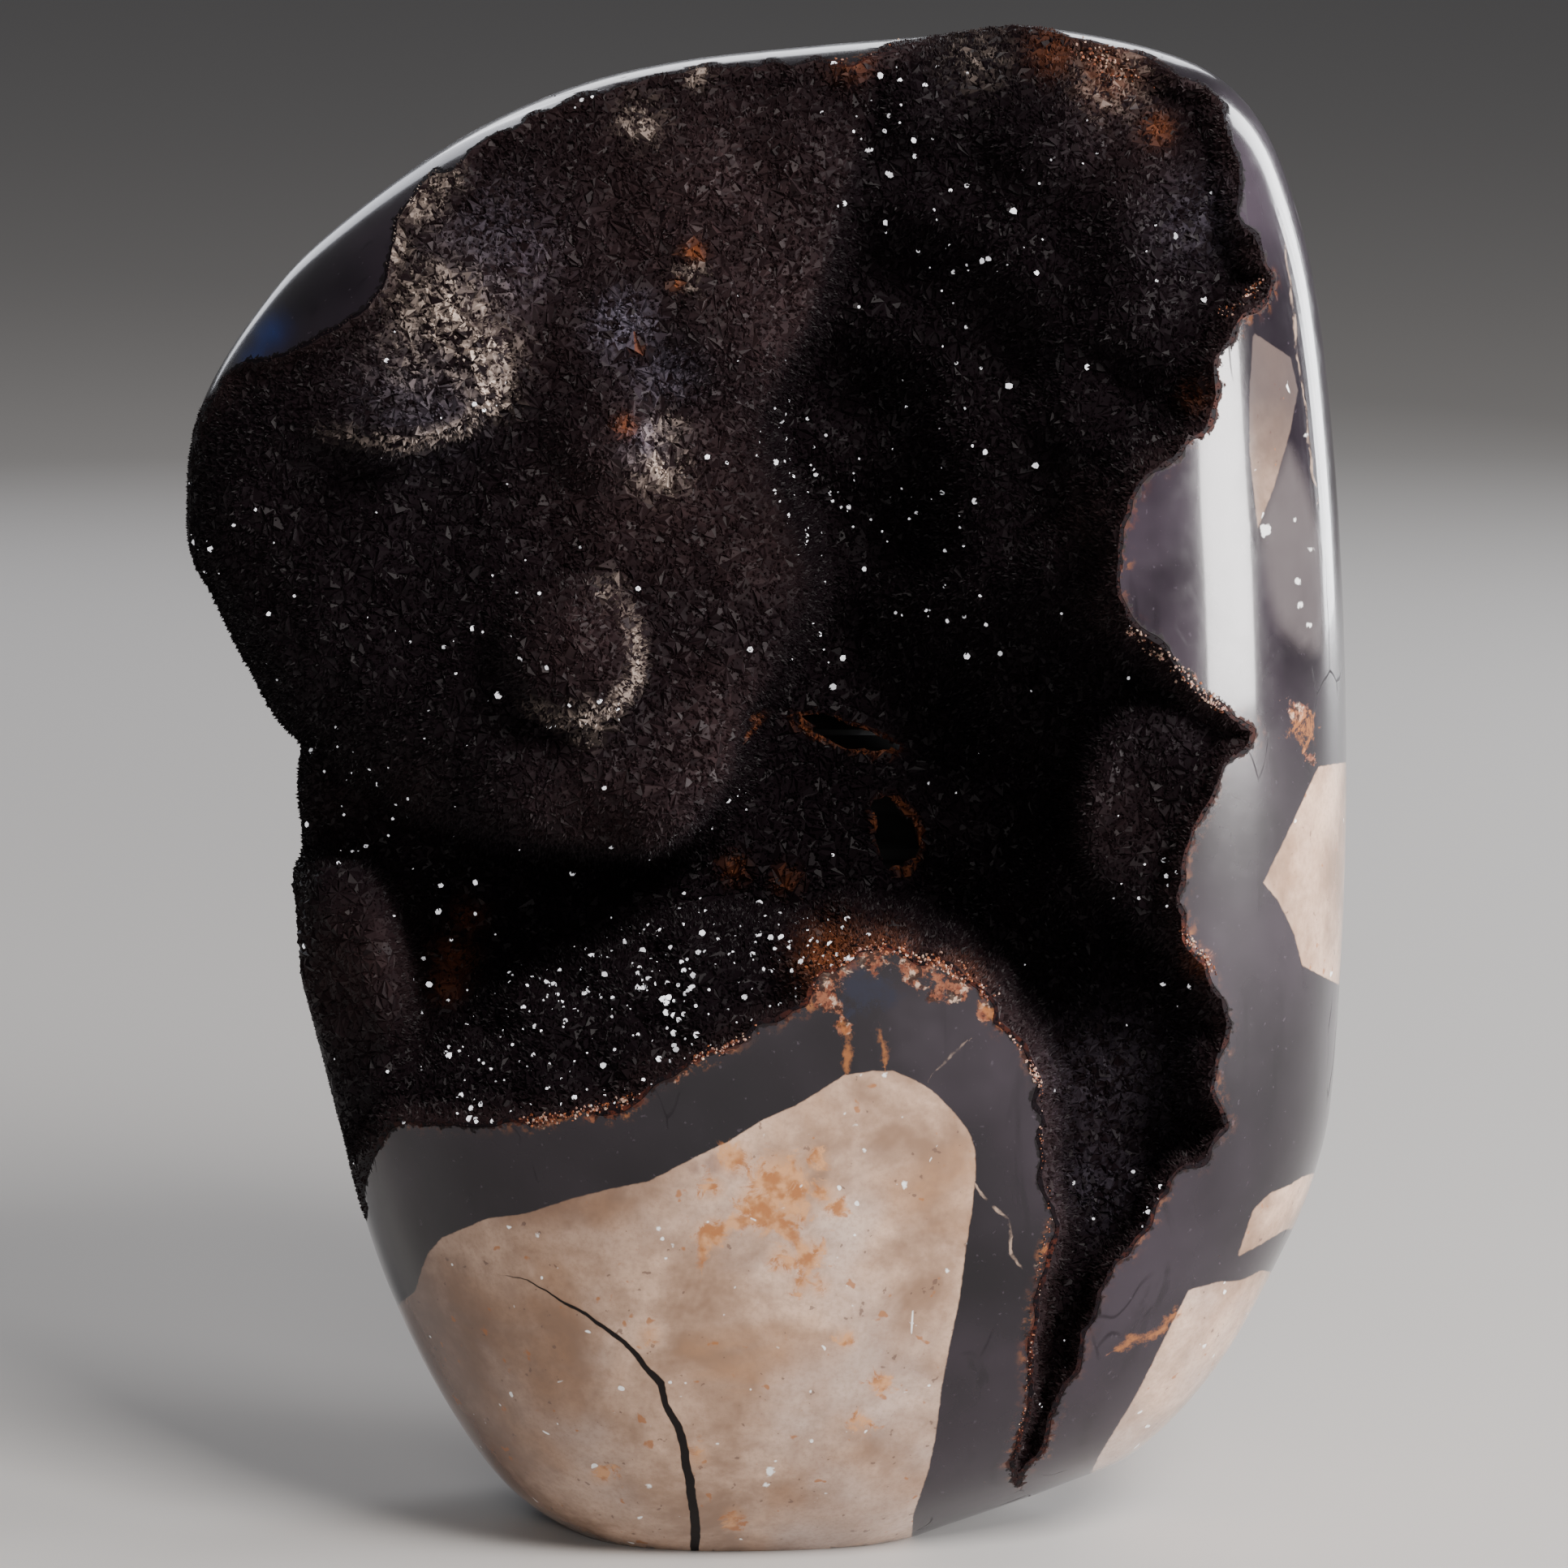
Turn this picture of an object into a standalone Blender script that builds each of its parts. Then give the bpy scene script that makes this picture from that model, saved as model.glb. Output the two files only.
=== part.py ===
# Polished septarian geode: an upright free form with an open hollow, lined with fine dark crystals.
# It stands on a small flat spot. Sizes are in millimetres, turned into metres when a mesh is made.

import math
import random

import bmesh
import bpy
import numpy as np
from mathutils import Vector, noise
from mathutils.bvhtree import BVHTree

mm = 0.001
seed = 7

# The polished form
centre = (0.5, 100.0)
frontDepth = 49.0
backDepth = 48.5
fullness = 2.3
outlineSteps = 60
ringSteps = 9
fineOutlineSteps = 160
fineRingSteps = 30

# Widest outline as (x, z), clockwise from the top. What lies below z = 0 is cut off flat.
outline = [
    (36.6, 199.9), (59.4, 193.3), (69.6, 175.6), (74.6, 144.0), (76.7, 101.6), (75.6, 63.1),
    (73.3, 48.7), (68.7, 37.1), (60.6, 22.1), (50.3, 10.7), (39.3, 5.4), (24.4, 0.0), (12.6, -3.9),
    (-5.0, -5.4), (-18.1, -4.1), (-27.8, 0.0), (-35.6, 6.1), (-42.5, 16.0), (-48.6, 28.0),
    (-53.8, 42.4), (-60.6, 69.8), (-70.5, 107.1), (-74.6, 122.3), (-76.2, 135.3), (-74.2, 150.7),
    (-64.8, 165.5), (-54.2, 175.6), (-40.1, 185.5), (-25.9, 192.0), (-11.7, 195.5), (5.9, 197.5),
    (21.7, 198.8),
]

# The hollow is laid out as it is seen from in front and a little above. (u, v) are millimetres
# across and up in a plane through the sight target, square to the line of sight.
sightTilt = math.radians(10.0)
sightDistance = 1000.0
sightTarget = (2.3, 0.0, 99.9)
sightLevel = 100.6

# Where the hollow breaks through the polish, clockwise from the left end of the upper edge
mouth = [
    (-81, 136), (-78.6, 146.5), (-73.6, 152.2), (-69.5, 155.9), (-65.2, 157.2), (-58.7, 160.5),
    (-53.3, 163.9), (-50.3, 168.0), (-50.1, 173.4), (-47.9, 177.7), (-43.1, 181.8), (-38.2, 184.6),
    (-32.8, 187.9), (-26.4, 190.8), (-17.8, 193.9), (-8.1, 195.6), (3.8, 196.4), (11.3, 196.4),
    (16.7, 198.2), (22.1, 202.3), (30.7, 203.4), (38.2, 200.9), (44.7, 198.2), (52.2, 196.2),
    (57.6, 193.9), (60.9, 190.1), (62.5, 184.2), (63.2, 176.6), (64.9, 171.2), (67.5, 167.5),
    (65.7, 164.6), (63.0, 162.8), (60.3, 157.2), (59.6, 151.9), (58.9, 147.5), (55.5, 144.7),
    (50.6, 141.6), (48.1, 137.3), (46.8, 131.9), (47.1, 126.0), (49.2, 121.7), (52.2, 119.5),
    (56.0, 115.0), (59.2, 112.0), (64.9, 107.5), (61.4, 102.9), (59.8, 98.5), (57.4, 95.3),
    (55.5, 89.4), (54.4, 85.1), (55.5, 80.8), (58.7, 76.5), (60.3, 72.2), (61.1, 67.9),
    (59.6, 62.5), (60.0, 57.1), (61.9, 53.9), (57.6, 50.6), (53.3, 46.8), (50.1, 40.9),
    (45.8, 34.5), (42.0, 26.9), (39.3, 19.4), (35.9, 11.8), (33.1, 7.5), (31.8, 8.0),
    (33.5, 14.0), (34.8, 22.6), (35.9, 32.3), (36.4, 37.2), (37.8, 42.5), (36.4, 49.5),
    (36.1, 54.9), (36.4, 60.3), (34.1, 65.7), (30.9, 69.5), (28.3, 73.8), (23.7, 76.3),
    (17.8, 78.4), (12.4, 78.6), (7.5, 75.4), (4.8, 71.1), (-1.6, 67.6), (-7.0, 64.6),
    (-15.6, 61.4), (-19.9, 57.6), (-26.4, 56.2), (-35.0, 55.5), (-43.6, 55.1), (-48.5, 55.6),
    (-51.7, 52.6), (-52.8, 48.5), (-54.4, 43.1), (-58.7, 43.1), (-64.1, 53.9), (-69.5, 70.0),
    (-74.9, 91.5), (-80.2, 113.1),
]

# The bite, where the hollow runs out through the left edge
bite = [
    (-85.6, 134.6), (-76.1, 132.5), (-74.9, 129.6), (-72.2, 127.9), (-70.5, 124.9), (-67.9, 120.6),
    (-64.6, 115.2), (-61.9, 110.9), (-58.7, 106.4), (-60.9, 103.9), (-61.5, 99.6), (-61.4, 95.9),
    (-61.1, 91.5), (-60.3, 86.2), (-60.7, 78.6), (-63.0, 73.8), (-74.9, 80.8), (-85.6, 107.7),
]

# The shallow lobe at the upper left, from the top of its right border, clockwise
lobe = [
    (17.2, 202.0), (15.1, 190.6), (11.8, 180.9), (9.2, 171.2), (6.5, 162.6), (2.2, 154.0),
    (-0.2, 148.6), (0.8, 143.2), (2.7, 137.9), (6.2, 128.7), (5.9, 124.4), (3.6, 119.5),
    (1.1, 114.7), (-2.2, 110.1), (-3.6, 105.5), (-4.5, 101.2), (-7.0, 97.5), (-10.2, 93.7),
    (-15.1, 91.0), (-23.2, 91.5), (-31.8, 92.4), (-40.4, 94.6), (-47.4, 97.8), (-52.8, 102.3),
    (-58.7, 106.4), (-75, 108), (-92, 130), (-92, 190), (-40, 215),
]

# The domed floor below, from the left end of its crest, clockwise
floor = [
    (-53, 54), (-51, 55), (-48, 60), (-43, 65), (-37, 71), (-33, 74), (-26, 77), (-20, 79),
    (-16, 81), (-10, 82), (-5, 83), (1, 82), (6, 81), (11, 80), (17, 79), (17, 70), (-5, 59),
    (-37, 48), (-53, 43),
]

# The ledge inside the right edge, and the fine-grained face at the lower left
ledge = [
    (43, 106), (41, 99), (41, 93), (43, 88), (46, 85), (49, 81), (52, 79), (58, 79), (66, 97),
    (66, 108), (54, 112), (48, 111),
]
face = [
    (-69, 90), (-54, 90), (-51, 86), (-49, 80), (-48, 73), (-48, 67), (-50, 60), (-53, 55),
    (-59, 52), (-69, 65),
]

# How far the lining lies below the polished form, as (u, v, depth)
deepSoundings = [
    (20, 192, 6), (22, 181, 18), (18, 167, 34), (12, 151, 48), (15, 135, 58), (12, 118, 62),
    (22, 108, 64), (6, 102, 62), (32, 97, 52), (38, 81, 48), (22, 86, 60), (-5, 86, 60),
    (-26, 86, 58), (-41, 84, 52), (-50, 90, 40), (-46, 72, 40), (-36, 80, 54), (-15, 87, 60), (38, 188, 5), (51, 178, 7), (38, 172, 16),
    (52, 162, 9), (30, 156, 32), (44, 151, 18), (33, 135, 36), (40, 129, 20), (36, 113, 38),
    (47, 113, 20), (41, 86, 30), (49, 70, 30), (47, 59, 26), (44, 48, 20), (40, 32, 14),
    (37, 19, 9), (33, 10, 4), (-48, 70, 25), (-51, 60, 14),
]
lobeSoundings = [
    (-75, 140, 3), (-66, 156, 4), (-52, 157, 5), (-41, 162, 9), (-46, 174, 4), (-37, 172, 9),
    (-26, 183, 5), (-26, 162, 13), (-10, 188, 6), (-10, 169, 12), (-10, 151, 16), (6, 188, 7),
    (2, 172, 13), (-55, 136, 14), (-41, 136, 17), (-26, 135, 18), (-13, 135, 18), (-2, 140, 20),
    (-44, 123, 18), (-33, 118, 13), (-10, 121, 16), (-64, 123, 12), (-53, 110, 14),
    (-37, 102, 11), (-21, 101, 10), (-9, 102, 13), (-48, 97, 12), (-16, 94, 12),
]
floorSoundings = [
    (-48, 57, 10), (-37, 69, 28), (-37, 61, 12), (-37, 56, 2), (-26, 75, 30), (-26, 66, 14),
    (-26, 57, 2), (-16, 79, 32), (-16, 70, 14), (-16, 62, 2), (-5, 81, 32), (-5, 73, 12),
    (-5, 66, 2), (6, 80, 20), (6, 75, 5),
]
ledgeSoundings = [(47, 98, 10), (55, 86, 9), (58, 104, 6)]
faceSoundings = [
    (-59, 84, 8), (-55, 75, 7), (-53, 65, 6), (-57, 65, 3), (-60, 78, 9), (-54, 86, 12),
]

# How steeply the lining falls away from the edge of the polish, as (u, v, slope)
wallSlopes = [
    (-60, 150, 2.0), (0, 196, 2.0), (50, 190, 2.5), (60, 165, 3.0), (47, 130, 3.5), (58, 100, 3.0),
    (60, 65, 3.5), (50, 40, 6.0), (22, 80, 9.0), (36, 60, 9.0), (35, 30, 7.0), (8, 74, 7.0),
    (-26, 56, 4.0), (-50, 55, 3.0),
]

# Rounded knobs on the lining, as (u, v, radius, height)
knobs = [
    (-52, 157, 14, 7), (-26, 118, 10, 8), (-66, 148, 8, 3), (-38, 166, 8, 3), (-12, 180, 9, 3),
    (-33, 98, 9, 3), (-12, 96, 8, 3), (-6, 160, 8, 3), (-22, 148, 8, 2.5), (46, 172, 8, 3),
    (30, 140, 9, 4), (48, 66, 7, 4), (-8, 74, 9, 3), (-30, 64, 9, 3), (20, 122, 8, 4),
]

# The grid that the hollow is laid out on, and how its surface is finished
gridAcross = (-88.0, 74.0)
gridUp = (0.0, 208.0)
gridStep = 1.5
frontPlane = -78.0
leastDepth = 4.2
lobeRounding = (7.0, 4.0)
lobeBlend = 5.0
otherBlend = 4.0
roughHeight = 1.2
roughScale = 0.16
aboveEdge = 18.0
biteSteepness = 9.0
biteMargin = 1.0
biteReach = 15.0
voxel = 1.8
hollowFaces = 1950
liningFaces = 2650

# The crust
gap = 0.35
crustThickness = 2.3
crystalLow = 0.9
crystalHigh = 2.6
crystalSlimness = 0.6

# Two small holes through the back of the hollow: centre (u, v), half widths, sideways lean
holes = [
    {"at": (7.0, 107.2), "half": (6.0, 1.7), "lean": 0.35, "roll": -18.0},
    {"at": (19.8, 93.8), "half": (2.6, 4.9), "lean": -0.30, "roll": 22.0},
]
holeSides = 10
holeSpan = (-10.0, 70.0)
holeClearance = 0.6


def clearScene():
    for item in list(bpy.data.objects):
        bpy.data.objects.remove(item, do_unlink=True)


def loopPoints(points, count):
    """Evenly spaced points on a smooth closed curve through the given ones."""
    knots = np.array(points, dtype=float)
    before, after = np.roll(knots, 1, 0), np.roll(knots, -1, 0)
    beyond = np.roll(knots, -2, 0)
    fine = []
    for t in np.linspace(0.0, 1.0, 12, endpoint=False):
        fine.append(0.5 * (2.0 * knots + (after - before) * t
                           + (2.0 * before - 5.0 * knots + 4.0 * after - beyond) * t ** 2
                           + (3.0 * knots - before - 3.0 * after + beyond) * t ** 3))
    fine = np.stack(fine, 1).reshape(-1, 2)
    closed = np.vstack([fine, fine[:1]])
    along = np.concatenate([[0.0], np.cumsum(np.linalg.norm(np.diff(closed, axis=0), axis=1))])
    wanted = np.linspace(0.0, along[-1], count, endpoint=False)
    return np.stack([np.interp(wanted, along, closed[:, k]) for k in range(2)], 1)


def inside(points, loop):
    """Distance to a closed outline, positive inside it."""
    corners = np.array(loop, dtype=float)
    ends = np.roll(corners, -1, 0)
    best = np.full(len(points), 1e9)
    odd = np.zeros(len(points), dtype=bool)
    for a, b in zip(corners, ends):
        run = b - a
        t = np.clip(((points - a) @ run) / (run @ run), 0.0, 1.0)
        best = np.minimum(best, np.linalg.norm(points - (a + t[:, None] * run), axis=1))
        spans = (a[1] > points[:, 1]) != (b[1] > points[:, 1])
        if spans.any():
            crossing = a[0] + (points[:, 1] - a[1]) * run[0] / (run[1] if run[1] else 1e-9)
            odd ^= spans & (points[:, 0] < crossing)
    return np.where(odd, best, -best)


def sounded(points, soundings, power=3.0):
    """Depths between soundings, nearer ones weighing more."""
    total = np.zeros(len(points))
    weights = np.zeros(len(points))
    for u, v, depth in soundings:
        weight = 1.0 / (np.hypot(points[:, 0] - u, points[:, 1] - v) + 1.0) ** power
        total += weight * depth
        weights += weight
    return total / weights


def blend(distance, width):
    t = np.clip(distance / width + 0.5, 0.0, 1.0)
    return t * t * (3.0 - 2.0 * t)


def sightAxes():
    ahead = np.array([0.0, math.cos(sightTilt), -math.sin(sightTilt)])
    up = np.array([0.0, math.sin(sightTilt), math.cos(sightTilt)])
    return ahead, up


def placed(points, depths):
    """Places in millimetres of (u, v) points at a depth beyond the sight target's plane."""
    ahead, up = sightAxes()
    across = points[:, 0] - sightTarget[0]
    rise = points[:, 1] - sightLevel
    grow = (sightDistance + depths) / sightDistance
    right = np.array([1.0, 0.0, 0.0])
    return (np.array(sightTarget) + (across * grow)[:, None] * right + (rise * grow)[:, None] * up
            + depths[:, None] * ahead)


def formMesh(segments, rings):
    """The polished form, before anything is cut: rings round a front and a back pole."""
    bm = bmesh.new()
    rim = loopPoints(outline, segments)
    heart = np.array(centre)
    loops = []
    for ring in range(-rings + 1, rings):
        turn = 0.5 * math.pi * ring / rings
        reach = math.cos(turn) ** (2.0 / fullness)
        depth = abs(math.sin(turn)) ** (2.0 / fullness)
        y = -depth * frontDepth if ring < 0 else depth * backDepth
        flat = heart + reach * (rim - heart)
        loops.append([bm.verts.new((x * mm, y * mm, z * mm)) for x, z in flat])
    for near, far in zip(loops, loops[1:]):
        for i in range(segments):
            j = (i + 1) % segments
            bm.faces.new((near[i], near[j], far[j], far[i]))
    for ends, y in ((loops[0], -frontDepth), (loops[-1], backDepth)):
        pole = bm.verts.new((centre[0] * mm, y * mm, centre[1] * mm))
        for i in range(segments):
            bm.faces.new((ends[i], ends[(i + 1) % segments], pole))
    bmesh.ops.recalc_face_normals(bm, faces=bm.faces)
    return bm


def restingForm(segments, rings):
    """The polished form with its flat spot cut."""
    bm = formMesh(segments, rings)
    everything = bm.verts[:] + bm.edges[:] + bm.faces[:]
    bmesh.ops.bisect_plane(bm, geom=everything, plane_co=(0, 0, 0), plane_no=(0, 0, -1),
                           clear_outer=True)
    rim = [edge for edge in bm.edges if edge.is_boundary]
    bmesh.ops.contextual_create(bm, geom=rim)
    bmesh.ops.recalc_face_normals(bm, faces=bm.faces)
    return bm


def polishedDepths(points):
    """Depth of the polished front along the line of sight, carried on past the outline."""
    bm = formMesh(fineOutlineSteps, fineRingSteps)
    tree = BVHTree.FromBMesh(bm)
    ahead, up = sightAxes()
    eye = np.array(sightTarget) - sightDistance * ahead
    depths = np.empty(len(points))
    for i, place in enumerate(placed(points, np.zeros(len(points)))):
        ray = Vector(place - eye).normalized()
        hit = tree.ray_cast(Vector(eye * mm), ray)[0]
        if hit is None:
            hit = Vector(eye * mm) - ray * (eye[1] * mm / ray.y)
        depths[i] = (np.array(hit) / mm - np.array(sightTarget)) @ ahead
    bm.free()
    return depths


def liningDepths(points, polished):
    """Depth of the lining along the line of sight."""
    below = sounded(points, deepSoundings)
    lobeIn = inside(points, lobe)
    drop, reach = lobeRounding
    lobeDepth = sounded(points, lobeSoundings) + drop * np.exp(-np.clip(lobeIn, 0, None) / reach)
    below = below + (lobeDepth - below) * blend(lobeIn, lobeBlend)
    for shape, soundings in ((floor, floorSoundings), (ledge, ledgeSoundings),
                             (face, faceSoundings)):
        share = blend(inside(points, shape), otherBlend)
        below = below + (sounded(points, soundings) - below) * share
    for u, v, radius, height in knobs:
        off = np.hypot(points[:, 0] - u, points[:, 1] - v) / radius
        below -= height * np.clip(1.0 - off ** 2, 0.0, 1.0)
    rough = np.array([noise.noise(Vector((u, v, 0.0)) * roughScale) for u, v in points])
    below += roughHeight * rough
    wall = sounded(points, wallSlopes) * inside(points, mouth)
    below = np.minimum(np.maximum(below, leastDepth), wall)
    below = np.maximum(below, -aboveEdge)
    below += biteSteepness * np.clip(inside(points, bite) + biteMargin, 0.0, biteReach)
    return polished + below


def hollowForm():
    """A closed form that fills the hollow and stands out in front of the stone."""
    us = np.arange(*gridAcross, gridStep)
    vs = np.arange(*gridUp, gridStep)
    flat = np.array([(u, v) for v in vs for u in us])
    back = placed(flat, liningDepths(flat, polishedDepths(flat)))
    front = placed(flat, np.full(len(flat), frontPlane))
    wide, high = len(us), len(vs)
    bm = bmesh.new()
    backVerts = [bm.verts.new(p * mm) for p in back]
    frontVerts = [bm.verts.new(p * mm) for p in front]
    for row in range(high - 1):
        for column in range(wide - 1):
            a = row * wide + column
            b, c, d = a + 1, a + wide + 1, a + wide
            bm.faces.new((backVerts[a], backVerts[b], backVerts[c], backVerts[d]))
            bm.faces.new((frontVerts[a], frontVerts[d], frontVerts[c], frontVerts[b]))
    border = list(range(wide)) + [r * wide + wide - 1 for r in range(1, high)]
    border += [(high - 1) * wide + c for c in range(wide - 2, -1, -1)]
    border += [r * wide for r in range(high - 2, 0, -1)]
    for a, b in zip(border, border[1:] + border[:1]):
        bm.faces.new((backVerts[a], frontVerts[a], frontVerts[b], backVerts[b]))
    bmesh.ops.recalc_face_normals(bm, faces=bm.faces)
    return bm


def newObject(name, bm):
    mesh = bpy.data.meshes.new(name)
    bm.to_mesh(mesh)
    bm.free()
    item = bpy.data.objects.new(name, mesh)
    bpy.context.scene.collection.objects.link(item)
    return item


def settled(item, *others):
    """Applies an object's modifiers, and takes its helpers away."""
    evaluated = item.evaluated_get(bpy.context.evaluated_depsgraph_get())
    mesh = bpy.data.meshes.new_from_object(evaluated)
    item.modifiers.clear()
    item.data = mesh
    for other in others:
        bpy.data.objects.remove(other, do_unlink=True)
    return item


def copied(item, name):
    twin = bpy.data.objects.new(name, item.data.copy())
    bpy.context.scene.collection.objects.link(twin)
    return twin


def evened(item):
    """Gives an object an even skin of small squares."""
    remesh = item.modifiers.new("Remesh", "REMESH")
    remesh.mode = "VOXEL"
    remesh.voxel_size = voxel * mm
    return settled(item)


def thinned(item, faces):
    """Leaves about the wanted number of irregular triangles."""
    thin = item.modifiers.new("Decimate", "DECIMATE")
    thin.ratio = faces / (2.0 * len(item.data.polygons))
    thin.use_collapse_triangulate = True
    return settled(item)


def pushed(item, distance):
    """Moves every vertex along its normal."""
    move = item.modifiers.new("Displace", "DISPLACE")
    move.mid_level = 0.0
    move.strength = distance * mm
    return settled(item)


def cut(item, other, operation, folded=False):
    """Cuts with another object, which is then taken away. A folded one may cross itself."""
    boolean = item.modifiers.new("Boolean", "BOOLEAN")
    boolean.operation = operation
    boolean.solver = "EXACT"
    boolean.use_self = folded
    boolean.object = other
    return settled(item, other)


def raiseCrystals(item):
    """Turns each triangle of a skin into a low pointed crystal with three flat faces."""
    dice = random.Random(seed)
    bm = bmesh.new()
    bm.from_mesh(item.data)
    for face in list(bm.faces):
        size = math.sqrt(face.calc_area()) / mm
        height = min(dice.uniform(crystalLow, crystalHigh), crystalSlimness * size)
        normal = face.normal.copy()
        top = bmesh.ops.poke(bm, faces=[face])["verts"][0]
        top.co -= normal * height * mm
    bm.to_mesh(item.data)
    bm.free()
    return item


def holeForm(hole, wider=0.0):
    """A slanted tunnel from the hollow out through the back."""
    rollBy = math.radians(hole["roll"])
    ends = []
    for depth in holeSpan:
        ring = []
        for i in range(holeSides):
            turn = 2.0 * math.pi * i / holeSides
            a = (hole["half"][0] + wider) * math.cos(turn)
            b = (hole["half"][1] + wider) * math.sin(turn)
            u = hole["at"][0] + a * math.cos(rollBy) - b * math.sin(rollBy)
            v = hole["at"][1] + a * math.sin(rollBy) + b * math.cos(rollBy)
            ring.append((u + hole["lean"] * depth, v))
        ends.append(placed(np.array(ring), np.full(holeSides, depth)))
    bm = bmesh.new()
    near, far = [[bm.verts.new(p * mm) for p in end] for end in ends]
    bm.faces.new(near)
    bm.faces.new(far)
    for i in range(holeSides):
        j = (i + 1) % holeSides
        bm.faces.new((near[i], near[j], far[j], far[i]))
    bmesh.ops.recalc_face_normals(bm, faces=bm.faces)
    return bm


def largestPart(item):
    """Keeps the biggest connected body of an object and drops loose chips."""
    bm = bmesh.new()
    bm.from_mesh(item.data)
    left = set(bm.faces)
    groups = []
    while left:
        group, edge = set(), [left.pop()]
        while edge:
            face = edge.pop()
            group.add(face)
            for rim in face.edges:
                for other in rim.link_faces:
                    if other in left:
                        left.remove(other)
                        edge.append(other)
        groups.append(group)
    groups.sort(key=len)
    for group in groups[:-1]:
        bmesh.ops.delete(bm, geom=list(group), context="FACES")
    bmesh.ops.triangulate(bm, faces=bm.faces)
    bm.to_mesh(item.data)
    bm.free()
    print(item.name, "bodies", len(groups), "triangles", len(item.data.polygons))
    return item


def material(name, colour, roughness):
    made = bpy.data.materials.new(name)
    made.use_nodes = True
    shader = made.node_tree.nodes["Principled BSDF"]
    shader.inputs["Base Color"].default_value = (*colour, 1.0)
    shader.inputs["Roughness"].default_value = roughness
    made.diffuse_color = (*colour, 1.0)
    return made


def painted(item, name, colour, roughness):
    item.data.materials.clear()
    item.data.materials.append(material(name, colour, roughness))


def build():
    clearScene()
    hollow = evened(newObject("hollow", hollowForm()))
    lining = pushed(copied(hollow, "lining"), -crustThickness)
    lining = raiseCrystals(thinned(evened(lining), liningFaces))
    thinned(hollow, hollowFaces)
    bed = pushed(copied(hollow, "bed"), -gap)

    stone = newObject("stone", restingForm(outlineSteps, ringSteps))
    crust = copied(stone, "crystal_crust")
    cut(stone, hollow, "DIFFERENCE")
    cut(crust, bed, "INTERSECT")
    for hole in holes:
        cut(stone, newObject("hole", holeForm(hole, holeClearance)), "DIFFERENCE")
        cut(crust, newObject("hole", holeForm(hole)), "DIFFERENCE")
    cut(crust, lining, "DIFFERENCE", folded=True)

    painted(largestPart(stone), "polished_stone", (0.25, 0.22, 0.19), 0.2)
    painted(largestPart(crust), "dark_crystal", (0.09, 0.07, 0.06), 0.3)


build()
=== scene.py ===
import math
import time

import bmesh
import bpy
import numpy as np
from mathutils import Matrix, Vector, noise
from mathutils.bvhtree import BVHTree


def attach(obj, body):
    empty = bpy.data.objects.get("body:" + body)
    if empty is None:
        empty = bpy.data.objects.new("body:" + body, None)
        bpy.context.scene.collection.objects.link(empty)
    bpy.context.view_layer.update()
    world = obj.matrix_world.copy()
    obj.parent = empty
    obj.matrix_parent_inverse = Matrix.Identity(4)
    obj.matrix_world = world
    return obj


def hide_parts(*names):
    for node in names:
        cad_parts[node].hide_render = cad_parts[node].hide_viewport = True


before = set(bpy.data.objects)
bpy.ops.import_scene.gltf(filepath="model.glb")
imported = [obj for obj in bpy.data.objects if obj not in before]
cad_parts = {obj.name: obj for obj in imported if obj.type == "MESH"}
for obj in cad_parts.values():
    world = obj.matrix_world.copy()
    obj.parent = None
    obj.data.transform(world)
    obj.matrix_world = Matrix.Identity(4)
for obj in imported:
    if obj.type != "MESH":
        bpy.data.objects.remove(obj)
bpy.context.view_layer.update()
mm = 0.001  # every size below is in millimetres
started = time.time()


def report(stage):
    print("geode:", stage, "%.0f s" % (time.time() - started))


# The polished form, with the same values as the solid model
form = {
    "centre": (0.5, 100.0),
    "frontDepth": 49.0,
    "backDepth": 48.5,
    "fullness": 2.3,
    "segments": 320,
    "rings": 60,
    # widest outline as (x, z), clockwise from the top
    "outline": [
        (36.6, 199.9), (59.4, 193.3), (69.6, 175.6), (74.6, 144.0), (76.7, 101.6), (75.6, 63.1),
        (73.3, 48.7), (68.7, 37.1), (60.6, 22.1), (50.3, 10.7), (39.3, 5.4), (24.4, 0.0),
        (12.6, -3.9), (-5.0, -5.4), (-18.1, -4.1), (-27.8, 0.0), (-35.6, 6.1), (-42.5, 16.0),
        (-48.6, 28.0), (-53.8, 42.4), (-60.6, 69.8), (-70.5, 107.1), (-74.6, 122.3),
        (-76.2, 135.3), (-74.2, 150.7), (-64.8, 165.5), (-54.2, 175.6), (-40.1, 185.5),
        (-25.9, 192.0), (-11.7, 195.5), (5.9, 197.5), (21.7, 198.8),
    ],
}

# The line of sight that the hollow is laid out along: (u, v) run across and up, square to it
sight = {"tilt": math.radians(10.0), "distance": 1000.0, "target": (2.3, 0.0, 99.9), "level": 100.6}

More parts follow.
